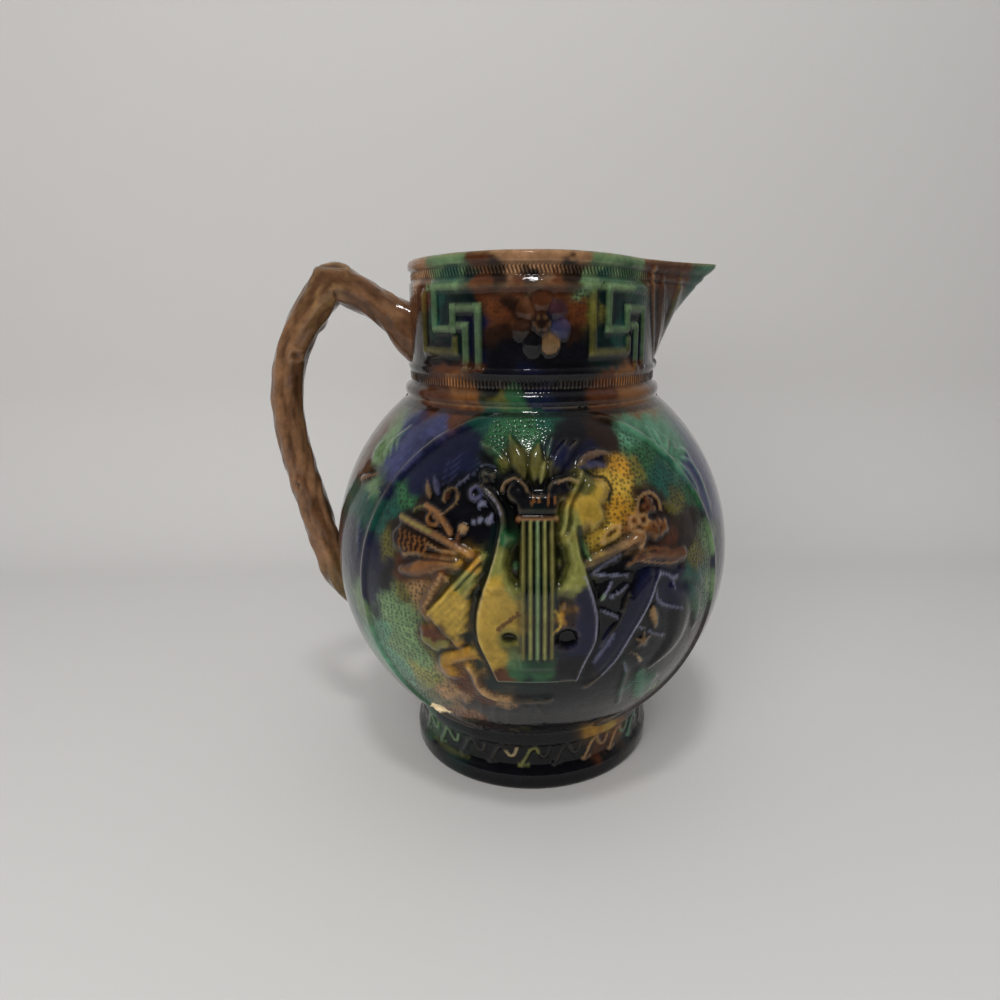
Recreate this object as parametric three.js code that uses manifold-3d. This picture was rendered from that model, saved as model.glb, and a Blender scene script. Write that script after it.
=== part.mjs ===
// A majolica pitcher: a round body on a foot, a straight neck with a pointed spout, and a branch handle.
// The front and the back carry a round field with a lyre and a trophy of musical instruments.
// Units are millimetres, +Z is up, the spout points along +X and the lyre faces -Y.
import * as THREE from 'three';
import { mergeVertices } from 'three/addons/utils/BufferGeometryUtils.js';
import Module from 'manifold-3d';

const wasm = await Module();
wasm.setup();

// Body, foot and neck. The body is a ball, and the lift is from the ground to its lowest point.
const height = 200;
const bodyRadius = 79.6;
const bodyLift = 6.4;
const bodyCentreHeight = bodyRadius + bodyLift;
const neckRadius = 47;
const footRadius = 50.8;
const footHeight = 25.6;
const baseRingHeight = 8.3;
const footBandHeight = 10.7;
const footBandHollow = 2.8;
const wall = 5;
const floorThickness = 6;
const recessDepth = 8;
const footRingWidth = 7.8;
const recessTaper = 4;

// Neck mouldings, from the shoulder up and from the rim down
const collarHeight = 6;
const collarSwell = 2.4;
const beadRingHeight = 4.4;
const ledgeHeight = 2.8;
const rimRollHeight = 3.9;
const rimGrooveHeight = 4.6;
const rimSwell = 0.4;
const rimRound = 1;
const mouldingStep = 1;

// Spout
const spoutReach = 26.8;
const spoutHalfAngle = 36;
const spoutRise = 50;
const spoutRimDrop = 2.4;
const handleRimDrop = 1.7;

// Handle, a bent branch
const gripThickness = 12.8;
const rootThickness = 21;
const lowerRootAngle = -20;
const upperRootBelowRim = 27;

// Relief heights above the ground of the ornament
const lowRelief = 1.4;
const middleRelief = 2.6;
const highRelief = 3.6;
const stringRelief = 4.4;
const fretRelief = 1.4;
const scrollRelief = 1.3;
const sunk = 1.6;

// The round field, drawn in millimetres on a body of this radius
const drawingRadius = 79.6;
const fieldRadius = 72.8;
const fieldCentre = 5.6;
const fieldRingWidth = 2.6;
const frontTurn = -2.5;

// Fineness of the faceted surface
const columns = 30;
const lowerBodyRows = 3;
const upperBodyRows = 4;
const cavityColumns = 20;
const cavityRowCount = 5;
const handleSides = 8;
const handleSteps = 20;
const ringFacets = 20;
const longestFacet = 11;

const degrees = Math.PI / 180;

// Height at which the shoulder reaches the neck's collar, and the levels that follow from it
const collarRadius = neckRadius + collarSwell;
const shoulderHeight = bodyCentreHeight + Math.sqrt(bodyRadius ** 2 - collarRadius ** 2);
const beadRingBottom = shoulderHeight + collarHeight;
const ledgeBottom = beadRingBottom + beadRingHeight;
const panelBottom = ledgeBottom + ledgeHeight;
const panelTop = height - rimRollHeight - rimGrooveHeight;
const grooveTop = height - rimRollHeight;

function smoothStep(low, high, value) {
  const t = Math.min(Math.max((value - low) / (high - low), 0), 1);
  return t * t * (3 - 2 * t);
}

// Distance of the wall from the axis at an angle and a height, where the round neck has the given radius.
// The spout is a straight-sided beak that grows out of the round towards the rim.
function withSpout(radius, angle, z) {
  const rise = Math.min((z - (height - spoutRise)) / spoutRise, 1);
  if (rise <= 0) {
    return radius;
  }
  const tip = radius + spoutReach * rise ** 2;
  const halfAngle = spoutHalfAngle * degrees * rise ** 0.45;
  const turn = Math.abs(Math.atan2(Math.sin(angle), Math.cos(angle)));
  if (turn >= halfAngle) {
    return radius;
  }
  const slope = (tip - radius * Math.cos(halfAngle)) / (radius * Math.sin(halfAngle));
  return Math.max(radius, tip / (Math.cos(turn) + Math.sin(turn) * slope));
}

// The rim dips a little over the spout and over the handle
function rimDrop(angle, z) {
  const along = Math.cos(angle);
  const drop = along > 0 ? spoutRimDrop : handleRimDrop;
  return drop * along ** 2 * smoothStep(panelBottom, height, z);
}

// A closed solid between two levels of a round wall. Each row is [radius, z].
function turnedSolid(rows, sides) {
  const positions = [];
  const triangles = [];
  for (const [radius, z] of rows) {
    for (let i = 0; i < sides; i += 1) {
      const angle = (2 * Math.PI * i) / sides;
      const reach = withSpout(radius, angle, z);
      positions.push(reach * Math.cos(angle), reach * Math.sin(angle), z - rimDrop(angle, z));
    }
  }
  for (let row = 0; row + 1 < rows.length; row += 1) {
    for (let i = 0; i < sides; i += 1) {
      const next = (i + 1) % sides;
      const [a, b] = [row * sides + i, row * sides + next];
      const [c, d] = [b + sides, a + sides];
      triangles.push(a, b, c, a, c, d);
    }
  }
  const bottom = rows.length * sides;
  const top = bottom + 1;
  positions.push(0, 0, rows[0][1], 0, 0, rows[rows.length - 1][1]);
  const lastRow = (rows.length - 1) * sides;
  for (let i = 0; i < sides; i += 1) {
    const next = (i + 1) % sides;
    triangles.push(bottom, next, i, top, lastRow + i, lastRow + next);
  }
  return toSolid(positions, triangles);
}

function toSolid(positions, triangles) {
  const mesh = new wasm.Mesh({
    numProp: 3,
    vertProperties: Float32Array.from(positions),
    triVerts: Uint32Array.from(triangles),
  });
  return new wasm.Manifold(mesh);
}

function solidOf(geometry) {
  geometry.deleteAttribute('normal');
  geometry.deleteAttribute('uv');
  const merged = mergeVertices(geometry, 1e-4);
  return toSolid(merged.attributes.position.array, merged.index.array);
}

// The outer wall, raised everywhere by the given relief
function outerRows(relief) {
  const rows = [];
  const bandTop = baseRingHeight + footBandHeight;
  const bandRadius = footRadius - footBandHollow;
  rows.push([footRadius + relief, 0]);
  rows.push([footRadius - 0.3 + relief, baseRingHeight - 0.8]);
  rows.push([bandRadius + relief, baseRingHeight]);
  rows.push([footRadius - 2 + relief, bandTop]);
  rows.push([footRadius - 0.8 + relief, bandTop + 1]);
  rows.push([footRadius - 1 + relief, footHeight]);
  const low = Math.asin((footHeight + 0.6 - bodyCentreHeight) / bodyRadius);
  const high = Math.asin((shoulderHeight - bodyCentreHeight) / bodyRadius);
  for (let i = -lowerBodyRows; i <= upperBodyRows; i += 1) {
    const tilt = i < 0 ? (-low * i) / lowerBodyRows : (high * i) / upperBodyRows;
    const radius = bodyRadius + relief;
    rows.push([radius * Math.cos(tilt), bodyCentreHeight + radius * Math.sin(tilt)]);
  }
  const neck = neckRadius + relief;
  const collar = collarRadius + relief;
  const collarBottom = shoulderHeight + relief;
  rows.push([collar, collarBottom + 0.5 * collarHeight]);
  rows.push([neck + 0.4, Math.max(beadRingBottom, collarBottom + collarHeight) + 0.5]);
  rows.push([neck + mouldingStep, ledgeBottom + 0.5]);
  rows.push([neck + mouldingStep, panelBottom - 0.6]);
  rows.push([neck, panelBottom]);
  rows.push([neck, panelBottom + 0.35 * (panelTop - panelBottom)]);
  rows.push([neck, panelBottom + 0.7 * (panelTop - panelBottom)]);
  rows.push([neck, panelTop]);
  rows.push([neck - mouldingStep, panelTop + 0.5]);
  rows.push([neck - mouldingStep, grooveTop - 0.3]);
  rows.push([neck + rimSwell, grooveTop + 0.5]);
  rows.push([neck + rimSwell, height - rimRound]);
  rows.push([neck - rimRound, height]);
  return rows;
}

// The hollow: a round belly with a flat floor, and a straight neck that follows the spout
function cavityRows() {
  const radius = bodyRadius - wall;
  const mouth = neckRadius - wall;
  const floorHeight = recessDepth + floorThickness;
  const low = Math.asin(Math.max(floorHeight - bodyCentreHeight, -0.98 * radius) / radius);
  const high = Math.acos(mouth / radius);
  const rows = [];
  for (let i = 0; i <= cavityRowCount; i += 1) {
    const tilt = low + ((high - low) * i) / cavityRowCount;
    rows.push([radius * Math.cos(tilt), bodyCentreHeight + radius * Math.sin(tilt)]);
  }
  for (const z of [height - 28, height - 12, height, height + spoutReach]) {
    rows.push([mouth, z]);
  }
  return rows;
}

// The hollow under the foot
function underRecess() {
  const inner = footRadius - footRingWidth;
  const top = inner - recessTaper;
  const recess = new THREE.CylinderGeometry(top, inner, 2 * recessDepth, cavityColumns);
  recess.rotateX(Math.PI / 2);
  return solidOf(recess);
}

// Maps a drawing on the round field to the body. Both coordinates are distances from the field's middle.
function bodyChart(turn) {
  return (across, up, reach) => {
    const swing = Math.hypot(across, up) / drawingRadius;
    const heading = Math.atan2(up, across);
    const side = Math.sin(swing) * Math.cos(heading);
    const out = Math.cos(swing);
    const [c, s] = [Math.cos(turn * degrees), Math.sin(turn * degrees)];
    const radius = bodyRadius + reach;
    return [
      radius * (side * c + out * s),
      radius * (side * s - out * c),
      bodyCentreHeight + radius * Math.sin(swing) * Math.sin(heading),
    ];
  };
}

// Maps a drawing on the neck, in millimetres round the wall from the given direction and in height
function neckChart(turn) {
  return (across, z, reach) => {
    const direction = across / neckRadius + (turn - 90) * degrees;
    const radius = withSpout(neckRadius, direction, z) + reach;
    return [radius * Math.cos(direction), radius * Math.sin(direction), z - rimDrop(direction, z)];
  };
}

// Maps a drawing on the foot's hollow band
function footChart(across, z, reach) {
  const direction = across / footRadius;
  const radius = footRadius - footBandHollow + reach;
  return [radius * Math.cos(direction), radius * Math.sin(direction), z];
}

// A raised form with the outline drawn on a chart, from below the wall's surface up to its relief
function raised(outline, chart, relief, depth = sunk) {
  const rim = outline.map(([x, y]) => new THREE.Vector2(x, y));
  if (THREE.ShapeUtils.isClockWise(rim)) {
    rim.reverse();
  }
  const faces = THREE.ShapeUtils.triangulateShape(rim, []);
  const count = rim.length;
  const positions = [];
  for (const level of [-depth, relief]) {
    for (const point of rim) {
      positions.push(...chart(point.x, point.y, level));
    }
  }
  const triangles = [];
  for (const [a, b, c] of faces) {
    triangles.push(a + count, b + count, c + count, a, c, b);
  }
  for (let i = 0; i < count; i += 1) {
    const next = (i + 1) % count;
    triangles.push(i, next, next + count, i, next + count, i + count);
  }
  return toSolid(positions, triangles);
}

// Outlines

function along(points, steps) {
  const path = new THREE.CatmullRomCurve3(points.map(([x, y]) => new THREE.Vector3(x, y, 0)));
  const result = [];
  for (let i = 0; i <= steps; i += 1) {
    const t = i / steps;
    result.push([path.getPoint(t), path.getTangent(t), t]);
  }
  return result;
}

// A band of the given width along a smooth line. Its shape over the length is even, leaf or horn.
function band(points, width, steps = 6, shape = 'even') {
  const widths = {
    even: () => 1,
    leaf: (t) => 0.08 + 0.92 * Math.sin(Math.PI * Math.min(t, 0.97) ** 0.8),
    horn: (t) => 0.2 + 0.8 * t ** 1.4,
    pear: (t) => 0.25 + 0.75 * Math.sin(Math.PI * (0.1 + 0.85 * t)) ** 2 * t,
  };
  const left = [];
  const right = [];
  for (const [point, tangent, t] of along(points, steps)) {
    const half = (width / 2) * widths[shape](t);
    left.push([point.x - tangent.y * half, point.y + tangent.x * half]);
    right.unshift([point.x + tangent.y * half, point.y - tangent.x * half]);
  }
  return [...left, ...right];
}

function disc(centre, radius, sides = 8, squash = 1) {
  const outline = [];
  for (let i = 0; i < sides; i += 1) {
    const angle = (2 * Math.PI * i) / sides;
    outline.push([centre[0] + radius * Math.cos(angle), centre[1] + radius * squash * Math.sin(angle)]);
  }
  return outline;
}

// A band of even width along straight stretches
function ribbon(route, width) {
  const left = [];
  const right = [];
  for (let i = 0; i < route.length; i += 1) {
    const before = route[Math.max(i - 1, 0)];
    const after = route[Math.min(i + 1, route.length - 1)];
    const length = Math.hypot(after[0] - before[0], after[1] - before[1]);
    const side = [(before[1] - after[1]) / length, (after[0] - before[0]) / length];
    left.push([route[i][0] + (side[0] * width) / 2, route[i][1] + (side[1] * width) / 2]);
    right.unshift([route[i][0] - (side[0] * width) / 2, route[i][1] - (side[1] * width) / 2]);
  }
  return [...left, ...right];
}

// A bar of even width whose route turns square corners. Long stretches are divided to follow a round wall.
function bentBar(corners, width) {
  const route = [corners[0]];
  for (let i = 1; i < corners.length; i += 1) {
    const [from, to] = [corners[i - 1], corners[i]];
    const parts = Math.max(1, Math.round(Math.abs(to[0] - from[0]) / longestFacet));
    for (let j = 1; j <= parts; j += 1) {
      route.push([from[0] + ((to[0] - from[0]) * j) / parts, from[1] + ((to[1] - from[1]) * j) / parts]);
    }
  }
  const left = [];
  const right = [];
  for (let i = 0; i < route.length; i += 1) {
    const before = heading(route[Math.max(i - 1, 0)], route[Math.max(i, 1)]);
    const after = heading(route[Math.min(i, route.length - 2)], route[Math.min(i + 1, route.length - 1)]);
    const turned = before[0] * after[1] - before[1] * after[0];
    const side = turned === 0 ? [-after[1], after[0]] : [-before[1] - after[1], before[0] + after[0]];
    left.push([route[i][0] + (side[0] * width) / 2, route[i][1] + (side[1] * width) / 2]);
    right.unshift([route[i][0] - (side[0] * width) / 2, route[i][1] - (side[1] * width) / 2]);
  }
  return [...left, ...right];
}

function heading(from, to) {
  const length = Math.hypot(to[0] - from[0], to[1] - from[1]);
  return [Math.round((to[0] - from[0]) / length), Math.round((to[1] - from[1]) / length)];
}

// The lyre

const lyreAxis = 1.9;
const lyreFoot = -24.5;
const lyreWaist = 11.5;
const lyreNeck = 30;
const lyreHalfWidths = [14.2, 17, 20, 20.5, 18.8, 16, 13.6, 12];
const stringTop = 31.5;
const stringBottom = -13.4;
const stringPitch = 2.35;
const stringWidth = 1.3;
const stringCount = 5;
const stringBoard = 11.4;
const capHeight = 1.8;
const blockHeight = 5.6;

function mirrored(outline) {
  return outline.map(([x, y]) => [2 * lyreAxis - x, y]);
}

// The left edge of the lyre between two heights
function lyreEdge(low, high, steps) {
  const path = new THREE.SplineCurve(lyreHalfWidths.map((half, i) => new THREE.Vector2(half, i)));
  const edge = [];
  for (let i = 0; i <= steps; i += 1) {
    const up = low + ((high - low) * i) / steps;
    const half = path.getPoint((up - lyreFoot) / (lyreNeck - lyreFoot)).x;
    edge.push([lyreAxis - half, up]);
  }
  return edge;
}

function lyreBox() {
  const left = lyreEdge(lyreFoot, lyreWaist, 6);
  return [...left, ...mirrored(left).reverse()];
}

// The left arm, from the sound box round the open slot to the neck of its scroll
function lyreArm() {
  const slot = [[-9, 31], [-5, 26.3], [-7.8, 21], [-7.8, 16], [-4, 11.9], [-4, lyreWaist - 2]];
  return [...lyreEdge(lyreWaist - 2, lyreNeck, 3), ...slot];
}

function lyreScrolls() {
  return [
    band([[-9.6, 29], [-11, 35], [-13.4, 39.7], [-17, 43]], 2.8, 4),
    disc([-19.6, 42], 2.7, 7),
    disc([-14.9, 47.2], 2.6, 6),
    band([[12.6, 28], [13, 35], [15.5, 41], [18.4, 49.5]], 4.4, 4),
    band([[17.5, 44], [23.5, 46], [27, 42.5], [25.8, 38.5]], 3.6, 4),
  ];
}

function lyreStrings() {
  const strings = [];
  for (let i = 0; i < stringCount; i += 1) {
    const x = lyreAxis + (i - (stringCount - 1) / 2) * stringPitch;
    strings.push(band([[x, stringBottom], [x, 0], [x, stringTop]], stringWidth, 2));
  }
  const cap = stringTop + capHeight / 2;
  const block = stringBottom - blockHeight / 2;
  strings.push(band([[lyreAxis - 6.5, cap], [lyreAxis + 6.5, cap]], capHeight, 1));
  strings.push(band([[lyreAxis - 7, block], [lyreAxis + 7, block]], blockHeight, 1));
  return strings;
}

// The head over the strings, with its two scrolls
function crown() {
  const top = stringTop + capHeight;
  return [
    [[lyreAxis - 6, top], [lyreAxis + 6, top], [lyreAxis + 8.6, top + 7.4], [lyreAxis - 8.6, top + 7.4]],
    disc([-4.4, 42], 4, 8),
    disc([9, 42], 4, 8),
  ];
}

function crownLeaves() {
  return [
    band([[-7, 46], [-12, 52.5], [-20, 58.5]], 5.4, 3, 'leaf'),
    band([[-2, 44], [-5, 53], [-7.5, 62]], 5.6, 3, 'leaf'),
    band([[1, 44], [1.8, 53], [3, 62.5]], 5.2, 3, 'leaf'),
    band([[5, 44], [8.6, 53], [13, 60]], 5.4, 3, 'leaf'),
    band([[10, 45], [18, 50.5], [31, 56]], 5, 3, 'leaf'),
  ];
}

// The instruments left of the lyre

const pipeCount = 8;
const pipeWidth = 2.05;
const longestPipe = 29.5;
const pipeStep = 3.7;
const pipeTilt = 48.6;

// The pan pipes, whose upper ends step down from the longest pipe to the shortest
function panPipes() {
  const corner = [-36.2, -0.9];
  const [c, s] = [Math.cos(pipeTilt * degrees), Math.sin(pipeTilt * degrees)];
  const place = (across, up) => [corner[0] + across * s + up * c, corner[1] - across * c + up * s];
  const outline = [corner];
  for (let i = 0; i < pipeCount; i += 1) {
    const length = longestPipe - pipeStep * i;
    outline.push(place(pipeWidth * i, length), place(pipeWidth * (i + 1), length));
  }
  return [...outline, place(pipeWidth * pipeCount, 0)];
}

// The open fan of a small harp, between two rods that meet beside the lyre
function harpFan() {
  return [[-24, 20.8], [-49, 31], [-53, 26], [-52, 19], [-46, 17.4]];
}

function leftLow() {
  return [
    band([[-21, -12], [-28, -15.5], [-33, -21], [-30, -27]], 6.4, 4),
    band([[-28, 34.7], [-26, 39], [-29.5, 43]], 5, 3, 'leaf'),
    band([[-34, 37.5], [-37, 42], [-40.5, 47]], 3.4, 3, 'leaf'),
    band([[-30, 40], [-33, 44], [-37, 50]], 3.4, 3, 'leaf'),
    band([[-21.4, -21], [-18.6, -28.5], [-13, -35], [-3, -36.2], [8, -36]], 3, 6),
  ];
}

function leftMiddle() {
  return [
    band([[-24.5, 17.2], [-34, 15.6], [-42, 12.6], [-49, 12]], 11.5, 6, 'pear'),
    band([[-29.6, 14.8], [-33.5, 8], [-38, 0.6]], 3.5, 3),
    disc([-36.8, -13.4], 5.4, 8),
    band([[-20.8, 20.6], [-35, 26], [-50, 32]], 2.2, 3),
    band([[-25.6, 19], [-36, 18.6], [-47, 16.8]], 1.7, 3),
    band([[-27.2, 26.4], [-33, 32.4], [-37.5, 35.6], [-41.5, 35]], 3, 4),
    disc([-35.8, 30.6], 2.4, 6),
  ];
}

// The instruments, fruit and flowers right of the lyre

function rightLow() {
  return [
    band([[37.4, 34], [39, 38.8], [43.6, 40.6], [47.6, 38.4], [49, 33.6]], 1.8, 6),
    band([[24, 24.5], [27.5, 28], [31.5, 29.6]], 4.6, 3, 'leaf'),
    band([[34, 8], [31, 0], [25.5, -9], [21, -17]], 3.2, 4),
    band([[41.4, -26], [45, -38], [47, -52]], 9, 4, 'leaf'),
    band([[33.2, -22], [34.6, -34], [34.6, -48]], 3.2, 4, 'leaf'),
  ];
}

function rightMiddle() {
  return [
    band([[32.6, 15.8], [42, 18.2], [51, 17.6], [60.5, 18.4]], 9.4, 4, 'horn'),
    band([[17.5, 18], [25, 21], [31, 23.2], [39, 24]], 7.6, 5, 'horn'),
    disc([45.6, 28.2], 6, 8, 0.72),
    disc([43.3, 36], 3, 6),
    disc([35.6, 31.3], 2.3, 5),
    disc([40.2, 31.6], 2.2, 5),
    band([[50, 8], [44, 9.6], [38.6, -3.8], [33, -14], [24, -28.5]], 3.4, 6),
    band([[48, 6], [53, -4], [51, -18], [41, -27]], 12.5, 5, 'leaf'),
  ];
}

// Sprays of leaves on the shoulder, outside the round field
function shoulderSprays() {
  const rays = [[-3, 13], [11, 8]];
  const right = [66, 46];
  const left = [-62, 48];
  const shapes = [];
  for (const [x, y] of rays) {
    shapes.push(band([right, [right[0] + x, right[1] + y]], 3.4, 2, 'leaf'));
    shapes.push(band([left, [left[0] - x, left[1] + y]], 3.4, 2, 'leaf'));
  }
  return shapes;
}

// The neck's fret and the panel between its two repeats, in millimetres round the neck

const fretUnit = (panelTop - panelBottom) / 10;
const fretBar = 2.7;
const fretStarts = [-37.2, 27.4];
const fretLevel = (units) => panelBottom + units * fretUnit;

// One repeat of three bent bars that reach round each other without touching
function fretBars(start, railEnd) {
  const place = (corners) => corners.map(([x, level]) => [start + x, fretLevel(level)]);
  const hook = place([[0, 9.2], [0, 4.4], [8.8, 4.4], [8.8, 6.8], [18.8, 6.8], [18.8, 0.3]]);
  return [
    bentBar(place([[-6.2, 8.4], [-6.2, 1.8], [9.6, 1.8], [9.6, 3.2]]), fretBar),
    bentBar([[railEnd, fretLevel(9.2)], ...hook], fretBar),
    bentBar(place([[14, 0.2], [14, 4.8], [11.6, 4.8]]), fretBar),
  ];
}

function neckFret() {
  const railEnds = [fretStarts[1] - 6.2 + fretBar / 2, fretStarts[1] + 20];
  return fretStarts.flatMap((start, i) => fretBars(start, railEnds[i]));
}

// A flower outline whose petals are the long points between its notches
function flower(centre, radius, petals, notch) {
  const outline = [];
  for (let i = 0; i < 2 * petals; i += 1) {
    const angle = (Math.PI * i) / petals;
    const reach = i % 2 === 0 ? radius : radius * notch;
    outline.push([centre[0] + reach * Math.cos(angle), centre[1] + reach * Math.sin(angle)]);
  }
  return outline;
}

// Lancet leaves on the two cheeks of the spout, measured round the neck from its front
function spoutLeaves() {
  const tip = 90 * degrees * neckRadius;
  const low = height - spoutRise + 10;
  return [-1, 1].map((side) => {
    const place = (across, z) => [tip + side * across, z];
    return band([place(5, low), place(13, height - 22), place(15, height - 7)], 6.4, 3, 'leaf');
  });
}

// The foot's running scroll, a single band that climbs slowly and falls back steeply at each repeat
const scrollCount = 11;

function footScroll() {
  const low = baseRingHeight + 2;
  const high = baseRingHeight + footBandHeight - 2.2;
  const pitch = (2 * Math.PI * footRadius) / scrollCount;
  const repeat = [[0, low], [0.45, high], [0.68, high - 2.4]];
  const route = [];
  for (let i = 0; i < scrollCount; i += 1) {
    route.push(...repeat.map(([share, z]) => [pitch * (i + share), z]));
  }
  route.push([pitch * scrollCount + 1, low]);
  return ribbon(route, 2.2);
}

// The branch handle, as [out from the axis, height, thickness] from its lower root to its upper root
function handleStations() {
  const rise = height - bodyCentreHeight;
  const station = (out, z, thick) => [out, z, thick * gripThickness];
  const fromBody = (out, share, thick) => station(bodyRadius + out, bodyCentreHeight + share * rise, thick);
  const fromNeck = (out, below, thick) => station(neckRadius + out, height - below, thick);
  const root = bodyRadius - wall;
  const rootOut = root * Math.cos(lowerRootAngle * degrees);
  const rootHeight = bodyCentreHeight + root * Math.sin(lowerRootAngle * degrees) - 3;
  return [
    [rootOut, rootHeight, 0.9 * gripThickness],
    fromBody(2.2, -0.125, 1),
    fromBody(6.6, -0.018, 1),
    fromBody(10.8, 0.14, 1.01),
    fromBody(15, 0.3, 1),
    fromBody(17.7, 0.474, 1),
    fromBody(16, 0.632, 1.01),
    fromBody(10.7, 0.754, 1.04),
    fromNeck(36.2, 17.4, 1.12),
    fromNeck(29, 9.8, 1.18),
    fromNeck(21.2, 12.6, 1.1),
    fromNeck(13, 17.2, 1.04),
    fromNeck(6.4, 22, 1.16),
    [neckRadius, height - upperRootBelowRim + 0.8, 0.86 * rootThickness],
    [neckRadius - wall, height - upperRootBelowRim, rootThickness],
  ];
}

function handleSolid() {
  const stations = handleStations();
  const path = new THREE.CatmullRomCurve3(stations.map(([out, z]) => new THREE.Vector3(-out, 0, z)));
  const thickness = new THREE.CatmullRomCurve3(stations.map(([, , t]) => new THREE.Vector3(t, 0, 0)));
  const positions = [];
  for (let i = 0; i <= handleSteps; i += 1) {
    const point = path.getPoint(i / handleSteps);
    const tangent = path.getTangent(i / handleSteps);
    const half = thickness.getPoint(i / handleSteps).x / 2;
    for (let j = 0; j < handleSides; j += 1) {
      const angle = (2 * Math.PI * j) / handleSides;
      const inward = half * Math.cos(angle);
      const sideways = (half / 2 + gripThickness / 4) * Math.sin(angle);
      positions.push(point.x + tangent.z * inward, sideways, point.z - tangent.x * inward);
    }
  }
  const triangles = [];
  for (let i = 0; i < handleSteps; i += 1) {
    for (let j = 0; j < handleSides; j += 1) {
      const next = (j + 1) % handleSides;
      const [a, b] = [i * handleSides + j, i * handleSides + next];
      const [c, d] = [b + handleSides, a + handleSides];
      triangles.push(a, b, c, a, c, d);
    }
  }
  const last = handleSteps * handleSides;
  for (let j = 1; j + 1 < handleSides; j += 1) {
    triangles.push(0, j + 1, j, last, last + j, last + j + 1);
  }
  return toSolid(positions, triangles);
}

// A flake of glaze and clay lost where the foot meets the body
function chip() {
  const flake = new THREE.IcosahedronGeometry(4.4, 1);
  flake.scale(1.5, 1, 0.8);
  const angle = -140 * degrees;
  flake.rotateZ(angle + Math.PI / 2);
  const reach = footRadius + 3.6;
  flake.translate(reach * Math.cos(angle), reach * Math.sin(angle), footHeight + 1.6);
  return solidOf(flake);
}

// The ridge round the field is a true ring, half sunk in the body
function fieldRing(chart) {
  const swing = fieldRadius / drawingRadius;
  const ring = new THREE.TorusGeometry(bodyRadius * Math.sin(swing), fieldRingWidth / 2, 3, ringFacets);
  const outward = new THREE.Vector3(...chart(fieldCentre, 0, 0));
  outward.z -= bodyCentreHeight;
  outward.normalize();
  ring.applyQuaternion(new THREE.Quaternion().setFromUnitVectors(new THREE.Vector3(0, 0, 1), outward));
  outward.multiplyScalar(bodyRadius * Math.cos(swing));
  ring.translate(outward.x, outward.y, bodyCentreHeight + outward.z);
  return solidOf(ring);
}

// A wide form, trimmed so that its face runs even with the wall under it
function moulded(outline, chart, relief) {
  return raised(outline, chart, 3 * relief, wall).intersect(turnedSolid(outerRows(relief), columns));
}

function joined(outlines, chart, relief) {
  return outlines.map((outline) => raised(outline, chart, relief));
}

// The ring and the lyre, which the front and the back share
function lyreField(chart) {
  const board = [[lyreAxis, lyreWaist - 2], [lyreAxis, stringTop]];
  return [
    fieldRing(chart),
    moulded(lyreBox(), chart, middleRelief),
    raised(band(board, stringBoard, 2), chart, middleRelief),
    ...joined([lyreArm(), mirrored(lyreArm()), ...crown()], chart, highRelief),
  ];
}

// The strings, the scrolls, the leaves and the trophy stand on the front alone
function trophy(chart) {
  const flowers = [flower([44.6, -5.6], 3.6, 5, 0.42), flower([40.6, -14.4], 3.4, 5, 0.42)];
  return [
    ...joined(lyreScrolls(), chart, highRelief),
    ...joined(lyreStrings(), chart, stringRelief),
    ...joined([...crownLeaves(), ...leftMiddle(), ...rightMiddle()], chart, middleRelief),
    moulded(panPipes(), chart, middleRelief),
    moulded(harpFan(), chart, lowRelief),
    ...joined([...leftLow(), ...rightLow(), ...shoulderSprays()], chart, lowRelief),
    ...joined(flowers, chart, highRelief),
  ];
}

function buildPitcher() {
  const forms = [...trophy(bodyChart(frontTurn))];
  for (const turn of [frontTurn, frontTurn + 180]) {
    forms.push(...lyreField(bodyChart(turn)));
    forms.push(...joined(neckFret(), neckChart(turn), fretRelief));
  }
  const rosette = [3.2, fretLevel(5.1)];
  forms.push(raised(flower(rosette, 10.6, 7, 0.76), neckChart(frontTurn), lowRelief));
  forms.push(raised(disc(rosette, 4.6, 7), neckChart(frontTurn), middleRelief));
  forms.push(...joined(spoutLeaves(), neckChart(0), lowRelief));
  forms.push(raised(footScroll(), footChart, scrollRelief));
  forms.push(handleSolid());
  const full = forms.reduce((solid, form) => solid.add(form), turnedSolid(outerRows(0), columns));
  const hollow = full.subtract(turnedSolid(cavityRows(), cavityColumns));
  return hollow.subtract(underRecess()).subtract(chip());
}

function toGeometry(solid) {
  const mesh = solid.getMesh();
  const geometry = new THREE.BufferGeometry();
  geometry.setAttribute('position', new THREE.BufferAttribute(mesh.vertProperties, 3));
  geometry.setIndex(new THREE.BufferAttribute(mesh.triVerts, 1));
  geometry.computeBoundingBox();
  const box = geometry.boundingBox;
  geometry.translate(-(box.min.x + box.max.x) / 2, -(box.min.y + box.max.y) / 2, -box.min.z);
  geometry.computeVertexNormals();
  return geometry;
}

const glaze = new THREE.MeshStandardMaterial({ color: 0x4a3a24, roughness: 0.18, metalness: 0 });
const pitcher = new THREE.Mesh(toGeometry(buildPitcher()), glaze);
pitcher.name = 'pitcher';

const group = new THREE.Group();
group.add(pitcher);

export default group;
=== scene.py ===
import math

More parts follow.
